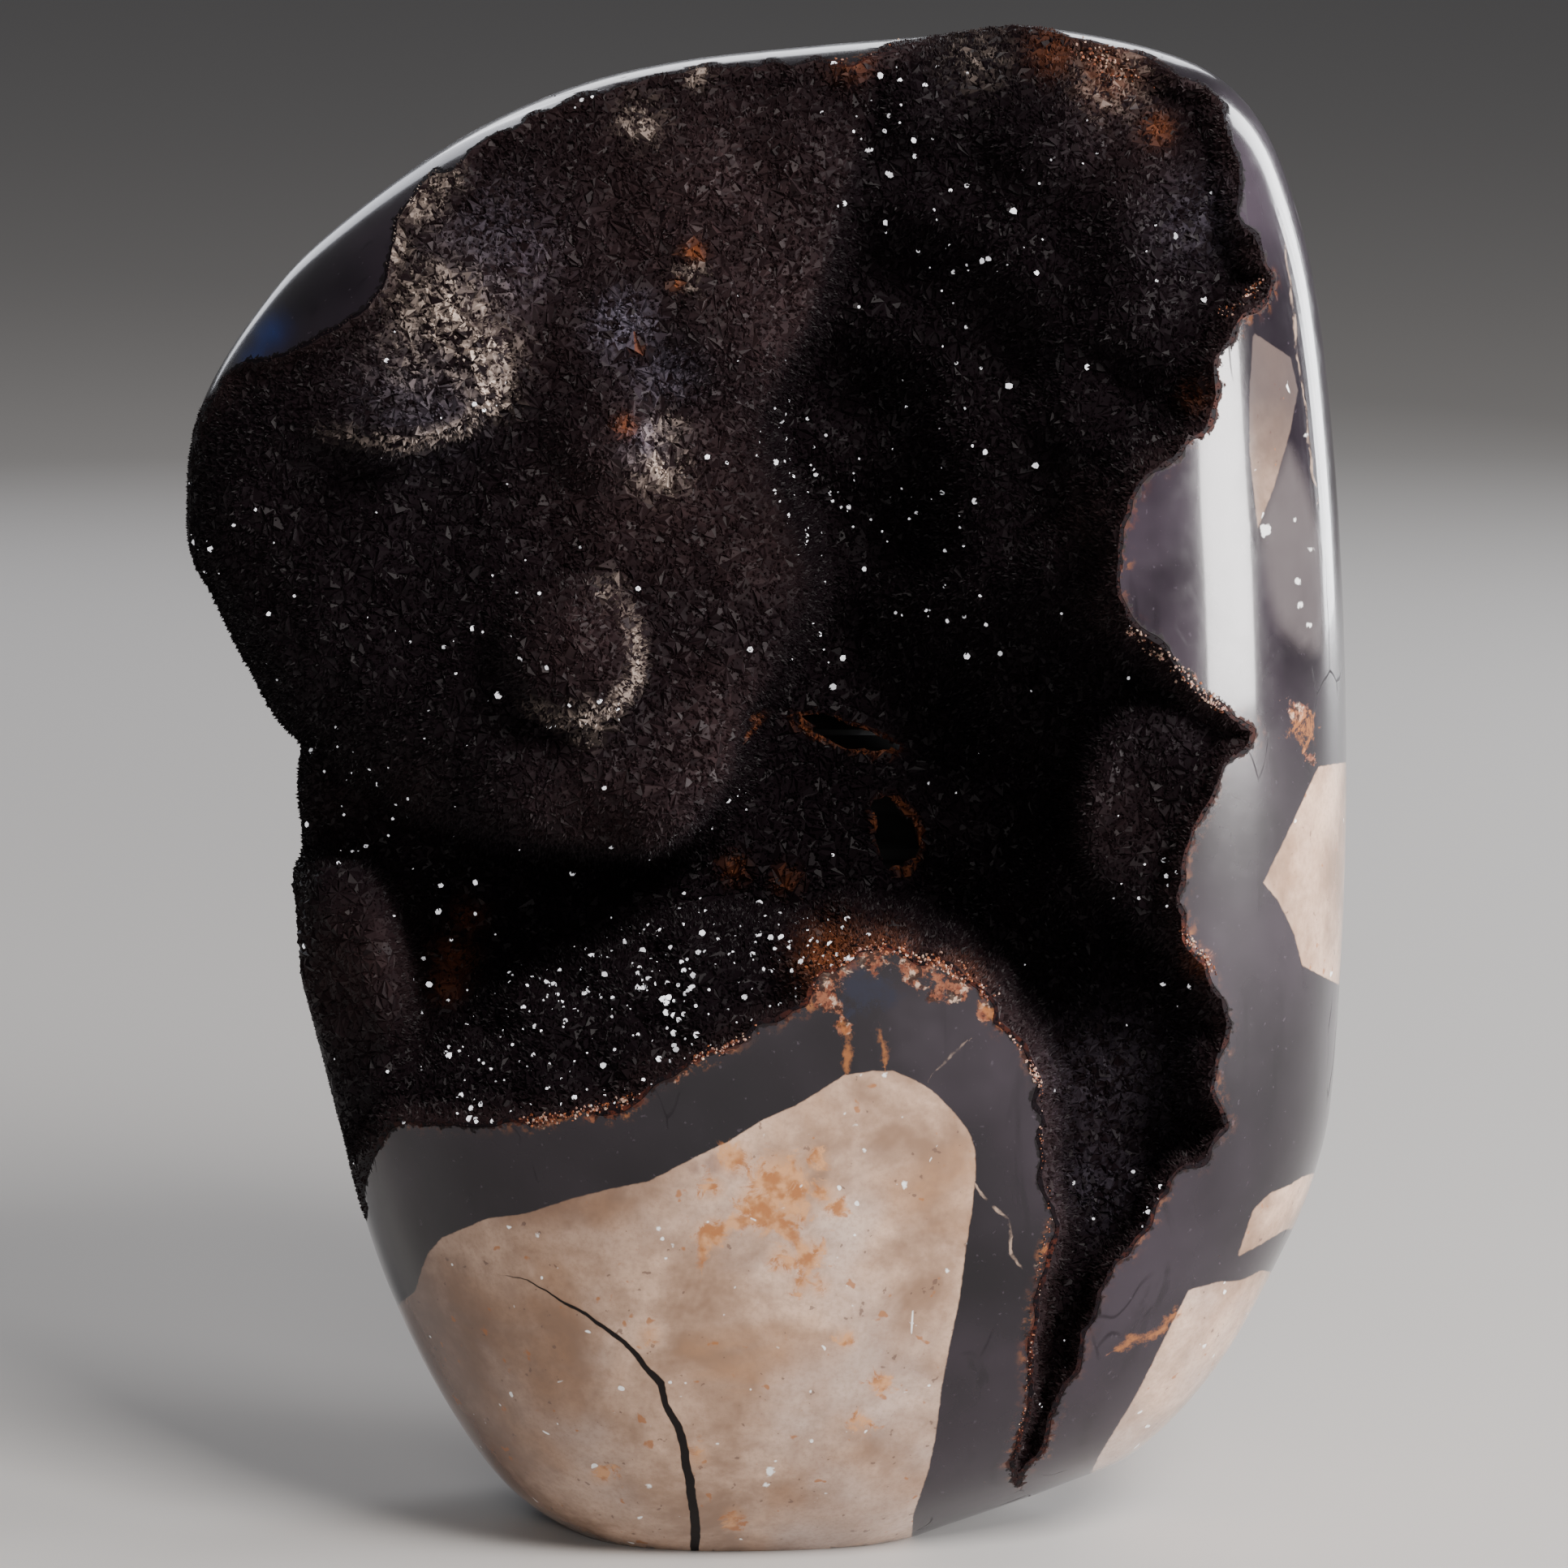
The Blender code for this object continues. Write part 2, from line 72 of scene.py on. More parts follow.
hollow = {
    "across": (-88.0, 74.0),
    "up": (0.0, 208.0),
    "step": 0.8,
    "frontPlane": -60.0,
    "margin": 7.0,
    "leastDepth": 4.2,
    "lobeRounding": (7.0, 4.0),
    "lobeBlend": 5.0,
    "otherBlend": 4.0,
    "roughHeight": 1.2,
    "roughScale": 0.16,
    "aboveEdge": 18.0,
    "biteSteepness": 9.0,
    "biteMargin": 1.0,
    "biteReach": 15.0,
    # fine lumps and a ragged edge, as (height, waves per millimetre)
    "lumps": [(0.9, 0.35), (0.45, 0.8)],
    "raggedEdge": [(1.5, 0.35), (1.5, 0.85)],
    "voxel": 0.85,
    "smoothing": (0.5, 3),
    "gap": 0.05,
    # where the hollow breaks through the polish
    "mouth": [
        (-81, 136), (-78.6, 146.5), (-73.6, 152.2), (-69.5, 155.9), (-65.2, 157.2),
        (-58.7, 160.5), (-53.3, 163.9), (-50.3, 168.0), (-50.1, 173.4), (-47.9, 177.7),
        (-43.1, 181.8), (-38.2, 184.6), (-32.8, 187.9), (-26.4, 190.8), (-17.8, 193.9),
        (-8.1, 195.6), (3.8, 196.4), (11.3, 196.4), (16.7, 198.2), (22.1, 202.3), (30.7, 203.4),
        (38.2, 200.9), (44.7, 198.2), (52.2, 196.2), (57.6, 193.9), (60.9, 190.1), (62.5, 184.2),
        (63.2, 176.6), (64.9, 171.2), (67.5, 167.5), (65.7, 164.6), (63.0, 162.8), (60.3, 157.2),
        (59.6, 151.9), (58.9, 147.5), (55.5, 144.7), (50.6, 141.6), (48.1, 137.3), (46.8, 131.9),
        (47.1, 126.0), (49.2, 121.7), (52.2, 119.5), (56.0, 115.0), (59.2, 112.0), (64.9, 107.5),
        (61.4, 102.9), (59.8, 98.5), (57.4, 95.3), (55.5, 89.4), (54.4, 85.1), (55.5, 80.8),
        (58.7, 76.5), (60.3, 72.2), (61.1, 67.9), (59.6, 62.5), (60.0, 57.1), (61.9, 53.9),
        (57.6, 50.6), (53.3, 46.8), (50.1, 40.9), (45.8, 34.5), (42.0, 26.9), (39.3, 19.4),
        (35.9, 11.8), (33.1, 7.5), (31.8, 8.0), (33.5, 14.0), (34.8, 22.6), (35.9, 32.3),
        (36.4, 37.2), (37.8, 42.5), (36.4, 49.5), (36.1, 54.9), (36.4, 60.3), (34.1, 65.7),
        (30.9, 69.5), (28.3, 73.8), (23.7, 76.3), (17.8, 78.4), (12.4, 78.6), (7.5, 75.4),
        (4.8, 71.1), (-1.6, 67.6), (-7.0, 64.6), (-15.6, 61.4), (-19.9, 57.6), (-26.4, 56.2),
        (-35.0, 55.5), (-43.6, 55.1), (-48.5, 55.6), (-51.7, 52.6), (-52.8, 48.5), (-54.4, 43.1),
        (-58.7, 43.1), (-64.1, 53.9), (-69.5, 70.0), (-74.9, 91.5), (-80.2, 113.1),
    ],
    "bite": [
        (-85.6, 134.6), (-76.1, 132.5), (-74.9, 129.6), (-72.2, 127.9), (-70.5, 124.9),
        (-67.9, 120.6), (-64.6, 115.2), (-61.9, 110.9), (-58.7, 106.4), (-60.9, 103.9),
        (-61.5, 99.6), (-61.4, 95.9), (-61.1, 91.5), (-60.3, 86.2), (-60.7, 78.6), (-63.0, 73.8),
        (-74.9, 80.8), (-85.6, 107.7),
    ],
    "lobe": [
        (17.2, 202.0), (15.1, 190.6), (11.8, 180.9), (9.2, 171.2), (6.5, 162.6), (2.2, 154.0),
        (-0.2, 148.6), (0.8, 143.2), (2.7, 137.9), (6.2, 128.7), (5.9, 124.4), (3.6, 119.5),
        (1.1, 114.7), (-2.2, 110.1), (-3.6, 105.5), (-4.5, 101.2), (-7.0, 97.5), (-10.2, 93.7),
        (-15.1, 91.0), (-23.2, 91.5), (-31.8, 92.4), (-40.4, 94.6), (-47.4, 97.8), (-52.8, 102.3),
        (-58.7, 106.4), (-75, 108), (-92, 130), (-92, 190), (-40, 215),
    ],
    "floor": [
        (-53, 54), (-51, 55), (-48, 60), (-43, 65), (-37, 71), (-33, 74), (-26, 77), (-20, 79),
        (-16, 81), (-10, 82), (-5, 83), (1, 82), (6, 81), (11, 80), (17, 79), (17, 70), (-5, 59),
        (-37, 48), (-53, 43),
    ],
    "ledge": [
        (43, 106), (41, 99), (41, 93), (43, 88), (46, 85), (49, 81), (52, 79), (58, 79),
        (66, 97), (66, 108), (54, 112), (48, 111),
    ],
    "face": [
        (-69, 90), (-54, 90), (-51, 86), (-49, 80), (-48, 73), (-48, 67), (-50, 60), (-53, 55),
        (-59, 52), (-69, 65),
    ],
    # how far the lining lies below the polish, as (u, v, depth)
    "deepSoundings": [
        (20, 192, 6), (22, 181, 18), (18, 167, 34), (12, 151, 48), (15, 135, 58), (12, 118, 62),
        (22, 108, 64), (6, 102, 62), (32, 97, 52), (38, 81, 48), (22, 86, 60), (-5, 86, 60),
        (-26, 86, 58), (-41, 84, 52), (-50, 90, 40), (-46, 72, 40), (-36, 80, 54), (-15, 87, 60),
        (38, 188, 5), (51, 178, 7), (38, 172, 16), (52, 162, 9), (30, 156, 32), (44, 151, 18),
        (33, 135, 36), (40, 129, 20), (36, 113, 38), (47, 113, 20), (41, 86, 30), (49, 70, 30),
        (47, 59, 26), (44, 48, 20), (40, 32, 14), (37, 19, 9), (33, 10, 4), (-48, 70, 25),
        (-51, 60, 14),
    ],
    "lobeSoundings": [
        (-75, 140, 3), (-66, 156, 4), (-52, 157, 5), (-41, 162, 9), (-46, 174, 4), (-37, 172, 9),
        (-26, 183, 5), (-26, 162, 13), (-10, 188, 6), (-10, 169, 12), (-10, 151, 16),
        (6, 188, 7), (2, 172, 13), (-55, 136, 14), (-41, 136, 17), (-26, 135, 18),
        (-13, 135, 18), (-2, 140, 20), (-44, 123, 18), (-33, 118, 13), (-10, 121, 16),
        (-64, 123, 12), (-53, 110, 14), (-37, 102, 11), (-21, 101, 10), (-9, 102, 13),
        (-48, 97, 12), (-16, 94, 12),
    ],
    "floorSoundings": [
        (-48, 57, 10), (-37, 69, 28), (-37, 61, 12), (-37, 56, 2), (-26, 75, 30), (-26, 66, 14),
        (-26, 57, 2), (-16, 79, 32), (-16, 70, 14), (-16, 62, 2), (-5, 81, 32), (-5, 73, 12),
        (-5, 66, 2), (6, 80, 20), (6, 75, 5),
    ],
    "ledgeSoundings": [(47, 98, 10), (55, 86, 9), (58, 104, 6)],
    "faceSoundings": [
        (-59, 84, 8), (-55, 75, 7), (-53, 65, 6), (-57, 65, 3), (-60, 78, 9), (-54, 86, 12),
    ],
    # how steeply the lining falls away from the edge, as (u, v, slope)
    "wallSlopes": [
        (-60, 150, 2.0), (0, 196, 2.0), (50, 190, 2.5), (60, 165, 3.0), (47, 130, 3.5),
        (58, 100, 3.0), (60, 65, 3.5), (50, 40, 6.0), (22, 80, 9.0), (36, 60, 9.0),
        (35, 30, 7.0), (8, 74, 7.0), (-26, 56, 4.0), (-50, 55, 3.0),
    ],
    # rounded knobs, as (u, v, radius, height)
    "knobs": [
        (-52, 157, 14, 7), (-26, 118, 10, 8), (-66, 148, 8, 3), (-38, 166, 8, 3),
        (-12, 180, 9, 3), (-33, 98, 9, 3), (-12, 96, 8, 3), (-6, 160, 8, 3), (-22, 148, 8, 2.5),
        (46, 172, 8, 3), (30, 140, 9, 4), (48, 66, 7, 4), (-8, 74, 9, 3), (-30, 64, 9, 3),
        (20, 122, 8, 4),
    ],
    # swellings with a clear border; "bright" is how strong the painted highlight on their lower right rim
    # is
    "swellings": [
        {"height": 4.2, "border": 2.2, "bright": 0.38, "outline": [
            (-69.5, 150.8), (-58.7, 146.3), (-47.9, 144.5), (-39.3, 147.0), (-34.5, 152.9),
            (-35.0, 159.4), (-41.5, 168.0), (-47.9, 172.3), (-56.5, 169.1), (-66.2, 159.4)]},
        {"height": 3.2, "border": 2.2, "bright": 0.42, "outline": [
            (-26.4, 107.6), (-20.0, 109.4), (-16.4, 114.0), (-15.8, 119.5), (-17.8, 124.5),
            (-22.5, 128.4), (-29.0, 128.6), (-35.0, 124.0), (-36.5, 117.0), (-33.0, 110.5)]},
    ],
}

# Two small holes right through the back
holes = [
    {"at": (7.0, 107.2), "half": (6.0, 1.7), "lean": 0.35, "roll": -18.0},
    {"at": (19.8, 93.8), "half": (2.6, 4.9), "lean": -0.30, "roll": 22.0},
]
holeShape = {"sides": 24, "span": (-10.0, 70.0), "clearance": 0.6, "ragged": (0.16, 0.1)}


def loopPoints(points, count):
    # evenly spaced points on a smooth closed curve
    knots = np.array(points, dtype=float)
    before, after = np.roll(knots, 1, 0), np.roll(knots, -1, 0)
    beyond = np.roll(knots, -2, 0)
    fine = []
    for t in np.linspace(0.0, 1.0, 12, endpoint=False):
        fine.append(0.5 * (2.0 * knots + (after - before) * t
                           + (2.0 * before - 5.0 * knots + 4.0 * after - beyond) * t ** 2
                           + (3.0 * knots - before - 3.0 * after + beyond) * t ** 3))
    fine = np.stack(fine, 1).reshape(-1, 2)
    closed = np.vstack([fine, fine[:1]])
    along = np.concatenate([[0.0], np.cumsum(np.linalg.norm(np.diff(closed, axis=0), axis=1))])
    wanted = np.linspace(0.0, along[-1], count, endpoint=False)
    return np.stack([np.interp(wanted, along, closed[:, k]) for k in range(2)], 1)


def inside(points, loop):
    # distance to a closed outline, positive inside it
    corners = np.array(loop, dtype=float)
    best = np.full(len(points), 1e9)
    odd = np.zeros(len(points), dtype=bool)
    for a, b in zip(corners, np.roll(corners, -1, 0)):
        run = b - a
        t = np.clip(((points - a) @ run) / (run @ run), 0.0, 1.0)
        best = np.minimum(best, np.linalg.norm(points - (a + t[:, None] * run), axis=1))
        spans = (a[1] > points[:, 1]) != (b[1] > points[:, 1])
        if spans.any():
            crossing = a[0] + (points[:, 1] - a[1]) * run[0] / (run[1] if run[1] else 1e-9)
            odd ^= spans & (points[:, 0] < crossing)
    return np.where(odd, best, -best)


def sounded(points, soundings, power=3.0):
    total = np.zeros(len(points))
    weights = np.zeros(len(points))
    for u, v, depth in soundings:
        weight = 1.0 / (np.hypot(points[:, 0] - u, points[:, 1] - v) + 1.0) ** power
        total += weight * depth
        weights += weight
    return total / weights


def blend(distance, width):
    t = np.clip(distance / width + 0.5, 0.0, 1.0)
    return t * t * (3.0 - 2.0 * t)


def waves(points, scale, seed):
    # smooth noise from -1 to 1 at each flat point
    return np.array([noise.noise(Vector((u * scale, v * scale, seed * (1.0 + scale))))
                     for u, v in points])


aheadAxis = np.array([0.0, math.cos(sight["tilt"]), -math.sin(sight["tilt"])])
upAxis = np.array([0.0, math.sin(sight["tilt"]), math.cos(sight["tilt"])])
rightAxis = np.array([1.0, 0.0, 0.0])
sightTarget = np.array(sight["target"])
eye = sightTarget - sight["distance"] * aheadAxis


def placed(points, depths):
    # where (u, v) points lie at a depth along the line of sight
    across = points[:, 0] - sightTarget[0]
    rise = points[:, 1] - sight["level"]
    grow = (sight["distance"] + depths) / sight["distance"]
    return (sightTarget + (across * grow)[:, None] * rightAxis + (rise * grow)[:, None] * upAxis
            + depths[:, None] * aheadAxis)


def sighted(places):
    # the (u, v) and the depth of places in millimetres
    off = places - sightTarget
    depth = off @ aheadAxis
    grow = (sight["distance"] + depth) / sight["distance"]
    u = off @ rightAxis / grow + sightTarget[0]
    v = off @ upAxis / grow + sight["level"]
    return np.stack([u, v], 1), depth


def meshObject(name, places, faces):
    mesh = bpy.data.meshes.new(name)
    mesh.from_pydata((np.asarray(places) * mm).tolist(), [], faces)
    item = bpy.data.objects.new(name, mesh)
    bpy.context.scene.collection.objects.link(item)
    return item


def settled(item, *helpers):
    # applies an object's modifiers, and takes its helpers away
    evaluated = item.evaluated_get(bpy.context.evaluated_depsgraph_get())
    mesh = bpy.data.meshes.new_from_object(evaluated)
    item.modifiers.clear()
    item.data = mesh
    for helper in helpers:
        bpy.data.objects.remove(helper, do_unlink=True)
    return item


def copied(item, name):
    twin = bpy.data.objects.new(name, item.data.copy())
    bpy.context.scene.collection.objects.link(twin)
    return twin


def evened(item, size):
    remesh = item.modifiers.new("Remesh", "REMESH")
    remesh.mode = "VOXEL"
    remesh.voxel_size = size * mm
    smooth = item.modifiers.new("Smooth", "SMOOTH")
    smooth.factor, smooth.iterations = hollow["smoothing"]
    return settled(item)


def thinned(item, ratio):
    thin = item.modifiers.new("Decimate", "DECIMATE")
    thin.ratio = ratio
    thin.use_collapse_triangulate = True
    return settled(item)


def pushed(item, distance):
    move = item.modifiers.new("Displace", "DISPLACE")
    move.mid_level = 0.0
    move.strength = distance * mm
    return settled(item)


def cut(item, other, operation):
    boolean = item.modifiers.new("Boolean", "BOOLEAN")
    boolean.operation = operation
    boolean.solver = "MANIFOLD"
    boolean.object = other
    return settled(item, other)


def vertexPlaces(item):
    places = np.empty(len(item.data.vertices) * 3)
    item.data.vertices.foreach_get("co", places)
    return places.reshape(-1, 3) / mm


def setAttribute(item, name, values, domain="POINT"):
    layer = item.data.attributes.new(name, "FLOAT", domain)
    layer.data.foreach_set("value", np.asarray(values, dtype=np.float32))


def formParts(segments, rings):
    rim = loopPoints(form["outline"], segments)
    heart = np.array(form["centre"])
    fullness = form["fullness"]
    places, faces = [], []
    for ring in range(-rings + 1, rings):
        turn = 0.5 * math.pi * ring / rings
        reach = math.cos(turn) ** (2.0 / fullness)
        depth = abs(math.sin(turn)) ** (2.0 / fullness)
        y = -depth * form["frontDepth"] if ring < 0 else depth * form["backDepth"]
        flat = heart + reach * (rim - heart)
        places.append(np.stack([flat[:, 0], np.full(segments, y), flat[:, 1]], 1))
    loops = len(places)
    for loop in range(loops - 1):
        for i in range(segments):
            j = (i + 1) % segments
            a, b = loop * segments, (loop + 1) * segments
            faces.append((a + i, b + i, b + j, a + j))
    front, back = loops * segments, loops * segments + 1
    last = (loops - 1) * segments
    for i in range(segments):
        j = (i + 1) % segments
        faces.append((front, i, j))
        faces.append((back, last + j, last + i))
    poles = [(heart[0], -form["frontDepth"], heart[1]), (heart[0], form["backDepth"], heart[1])]
    return np.vstack(places + [poles]), faces


def meshOpened(item):
    bm = bmesh.new()
    bm.from_mesh(item.data)
    return bm


def meshClosed(bm, item):
    bm.to_mesh(item.data)
    bm.free()
    return item


def restingForm(name):
    places, faces = formParts(form["segments"], form["rings"])
    item = meshObject(name, places, faces)
    bm = meshOpened(item)
    bmesh.ops.recalc_face_normals(bm, faces=bm.faces)
    everything = bm.verts[:] + bm.edges[:] + bm.faces[:]
    bmesh.ops.bisect_plane(bm, geom=everything, plane_co=(0, 0, 0), plane_no=(0, 0, -1),
                           clear_outer=True)
    bmesh.ops.contextual_create(bm, geom=[edge for edge in bm.edges if edge.is_boundary])
    bmesh.ops.recalc_face_normals(bm, faces=bm.faces)
    return meshClosed(bm, item)


def polishedDepths(points):
    places, faces = formParts(160, 30)
    tree = BVHTree.FromPolygons(places.tolist(), faces)
    depths = np.empty(len(points))
    for i, place in enumerate(placed(points, np.zeros(len(points)))):
        ray = Vector(place - eye).normalized()
        hit = tree.ray_cast(Vector(eye), ray)[0]
        if hit is None:
            hit = Vector(eye) - ray * (eye[1] / ray.y)
        depths[i] = (np.array(hit) - sightTarget) @ aheadAxis
    return depths


def liningDepths(points, polished, edge):
    below = sounded(points, hollow["deepSoundings"])
    lobeIn = inside(points, hollow["lobe"])
    drop, reach = hollow["lobeRounding"]
    lobeDepth = (sounded(points, hollow["lobeSoundings"])
                 + drop * np.exp(-np.clip(lobeIn, 0, None) / reach))
    below = below + (lobeDepth - below) * blend(lobeIn, hollow["lobeBlend"])
    for shape in ("floor", "ledge", "face"):
        share = blend(inside(points, hollow[shape]), hollow["otherBlend"])
        below = below + (sounded(points, hollow[shape + "Soundings"]) - below) * share
    for u, v, radius, height in hollow["knobs"]:
        off = np.hypot(points[:, 0] - u, points[:, 1] - v) / radius
        below -= height * np.clip(1.0 - off ** 2, 0.0, 1.0)
    for swelling in hollow["swellings"]:
        within = inside(points, swelling["outline"]) - swelling["border"] / 2.0
        below -= swelling["height"] * blend(within, swelling["border"])
    below += hollow["roughHeight"] * waves(points, hollow["roughScale"], 0.0)
    for seed, (height, scale) in enumerate(hollow["lumps"]):
        below += height * waves(points, scale, 11.0 + seed)
    wall = sounded(points, hollow["wallSlopes"]) * edge
    below = np.minimum(np.maximum(below, hollow["leastDepth"]), wall)
    below = np.maximum(below, -hollow["aboveEdge"])
    bitten = inside(points, hollow["bite"]) + hollow["biteMargin"]
    below += hollow["biteSteepness"] * np.clip(bitten, 0.0, hollow["biteReach"])
    return polished + below


def hollowForm():
    # a closed form that fills the hollow and stands out in front of the stone
    us = np.arange(*hollow["across"], hollow["step"])
    vs = np.arange(*hollow["up"], hollow["step"])
    flat = np.stack(np.meshgrid(us, vs), -1).reshape(-1, 2)
    edge = inside(flat, hollow["mouth"])
    near = edge > -hollow["margin"]
    number = np.full(len(flat), -1)
    number[near] = np.arange(near.sum())
    kept, edge = flat[near], edge[near]
    for seed, (height, scale) in enumerate(hollow["raggedEdge"]):
        edge = edge + height * waves(kept, scale, 21.0 + seed)
    back = placed(kept, liningDepths(kept, polishedDepths(kept), edge))
    front = placed(kept, np.full(len(kept), hollow["frontPlane"]))
    count = len(kept)
    grid = number.reshape(len(vs), len(us))
    quads = np.stack([grid[:-1, :-1], grid[:-1, 1:], grid[1:, 1:], grid[1:, :-1]], -1).reshape(-1, 4)
    quads = quads[(quads >= 0).all(1)]
    sides = np.concatenate([quads[:, [k, (k + 1) % 4]] for k in range(4)])
    known = set(map(tuple, sides.tolist()))
    rim = [(a, b) for a, b in sides.tolist() if (b, a) not in known]
    faces = quads.tolist() + (quads[:, ::-1] + count).tolist()
    faces += [(b, a, a + count, b + count) for a, b in rim]
    return meshObject("hollow", np.vstack([back, front]), faces)


def holeForm(hole, wider):
    rollBy = math.radians(hole["roll"])
    sides = holeShape["sides"]
    turns = 2.0 * np.pi * np.arange(sides) / sides
    slow, quick = holeShape["ragged"]
    ragged = 1.0 + slow * np.sin(3.0 * turns + hole["roll"]) + quick * np.sin(7.0 * turns)
    a = (hole["half"][0] + wider) * np.cos(turns) * ragged
    b = (hole["half"][1] + wider) * np.sin(turns) * ragged
    u = hole["at"][0] + a * math.cos(rollBy) - b * math.sin(rollBy)
    v = hole["at"][1] + a * math.sin(rollBy) + b * math.cos(rollBy)
    rings = [placed(np.stack([u + hole["lean"] * depth, v], 1), np.full(sides, depth))
             for depth in holeShape["span"]]
    faces = [tuple(range(sides)), tuple(range(2 * sides - 1, sides - 1, -1))]
    faces += [(i, i + sides, (i + 1) % sides + sides, (i + 1) % sides) for i in range(sides)]
    item = meshObject("hole", np.vstack(rings), faces)
    bm = meshOpened(item)
    bmesh.ops.recalc_face_normals(bm, faces=bm.faces)
    return meshClosed(bm, item)


def counted(item):
    # volume, triangles, and edges that don't join two faces
    bm = meshOpened(item)
    amount = bm.calc_volume(signed=True)
    loose = sum(1 for edge in bm.edges if len(edge.link_faces) != 2)
    sides = sum(len(face.verts) - 2 for face in bm.faces)
    bm.free()
    return "%.1f cm3, %d triangles, %d loose edges" % (amount * 1e6, sides, loose)


hollowItem = hollowForm()
report("hollow laid out " + counted(hollowItem))
evened(hollowItem, hollow["voxel"])
report("hollow evened " + counted(hollowItem))

# The skin of fine crystals on the hollow's wall
crystals = {
    "thickness": 0.6,
    "voxel": 0.85,
    "jitter": 0.22,
    "jitterSeed": 3,
    "keep": 0.2,
    "height": (0.1, 0.5),
    "seed": 5,
    "toneSeed": 17,
    "bedKeep": 0.3,
    # triangles smaller than this, in square millimetres, stay flat
    "leastArea": 0.02,
    # how much of the room under the polish a crystal may fill
    "roomShare": 0.8,
    # the points that stand on that skin: how many to a square millimetre, half width,
    # height as a share of it, and how far they lean
    "density": 3.8,
    "half": (0.21, 0.48),
    "tall": (0.9, 2.2),
    "lean": 0.6,
    "smallerOnFace": 0.6,
    # how often a point gets a painted glint, anywhere and where the glints are
    "glintChance": (0.0006, 0.034),
    # half width of the short crystals whose flat ends carry a painted glint
    "bright": (0.13, 0.52),
    "fewLarge": 2.2,
    # the points are kept in pieces, parted at these heights
    "parts": (80.0, 150.0),
}


def jittered(item, amount, seed):
    dice = np.random.default_rng(seed)
    places = vertexPlaces(item)
    places += dice.uniform(-amount, amount, places.shape)
    item.data.vertices.foreach_set("co", (places * mm).ravel())
    return item


def triangles(item):
    item.data.calc_loop_triangles()
    corners = np.empty(len(item.data.loop_triangles) * 3, dtype=np.int64)
    item.data.loop_triangles.foreach_get("vertices", corners)
    return vertexPlaces(item), corners.reshape(-1, 3)


def treeOf(item):
    places, corners = triangles(item)
    return BVHTree.FromPolygons(places.tolist(), corners.tolist())


def nearness(tree, places):
    return np.array([tree.find_nearest(Vector(place))[3] for place in places])


def raiseCrystals(item, lining, polish):
    # each triangle of the lining becomes a low crystal with three flat faces
    dice = np.random.default_rng(crystals["seed"])
    places, corners = triangles(item)
    a, b, c = places[corners.T]
    middle = (a + b + c) / 3.0
    normal = np.cross(b - a, c - a)
    area = np.linalg.norm(normal, axis=1) / 2.0
    normal /= np.maximum(np.linalg.norm(normal, axis=1), 1e-9)[:, None]
    onLining = (nearness(lining, middle) < 0.01) & (area > crystals["leastArea"])
    size = np.sqrt(area)
    low, high = crystals["height"]
    rise = dice.uniform(low, high, len(corners)) * np.clip(size, 0.2, 1.6)
    room = nearness(polish, middle)
    rise = np.minimum(rise, crystals["roomShare"] * room)
    shares = dice.dirichlet((3.0, 3.0, 3.0), len(corners))
    foot = shares[:, :1] * a + shares[:, 1:2] * b + shares[:, 2:] * c
    peaks = foot + normal * rise[:, None]
    chosen = np.flatnonzero(onLining)
    tips = len(places) + np.arange(len(chosen))
    first, second, third = corners[chosen].T
    raised = np.stack([np.stack([first, second, tips], 1), np.stack([second, third, tips], 1),
                       np.stack([third, first, tips], 1)], 1).reshape(-1, 3)
    faces = np.vstack([corners[~onLining], raised])
    crystal = np.concatenate([np.full((~onLining).sum(), -1), np.repeat(np.arange(len(chosen)), 3)])
    allPlaces = np.vstack([places, peaks[chosen]])
    made = meshObject("crystal_lining", allPlaces, faces.tolist())
    bpy.data.objects.remove(item, do_unlink=True)
    # crystals stand on the lining and, smaller, on the rim that the polish cuts
    bearing = onLining | (room < 0.03)
    skin = (a[bearing], b[bearing], c[bearing], normal[bearing], area[bearing])
    return made, allPlaces, faces, crystal, skin


def unitRows(rows):
    return rows / np.maximum(np.linalg.norm(rows, axis=1), 1e-9)[:, None]


def crystalPoints(skin):
    # where the pointed crystals stand, which way they lean, and their size
    dice = np.random.default_rng(crystals["seed"] + 1)
    a, b, c, normal, area = skin
    count = int(area.sum() * crystals["density"])
    chosen = dice.choice(len(area), count, p=area / area.sum())
    shares = dice.dirichlet((1.0, 1.0, 1.0), count)
    foot = (shares[:, :1] * a[chosen] + shares[:, 1:2] * b[chosen] + shares[:, 2:] * c[chosen])
    flat, depth = sighted(foot)
    half = dice.uniform(*crystals["half"], count)
    half *= np.where(inside(flat, hollow["face"]) > 1.0, crystals["smallerOnFace"], 1.0)
    anywhere, there = crystals["glintChance"]
    sparkle = dice.random(count) < anywhere + there * patches(flat, druse["glints"])
    rise = half * dice.uniform(*crystals["tall"], count)
    room = nearness(polishTree, foot)
    small = np.clip(room / (rise + 0.05), 0.4, 1.0)
    half, rise = half * small, rise * small
    lean = unitRows(dice.normal(size=(count, 3)))
    axis = unitRows(normal[chosen] + crystals["lean"] * lean * dice.random((count, 1)))
    bright = brightCrystals(foot[sparkle], normal[chosen][sparkle], room[sparkle],
                            flat[sparkle], depth[sparkle], dice)
    return foot, axis, half, rise, flat, depth, bright, dice


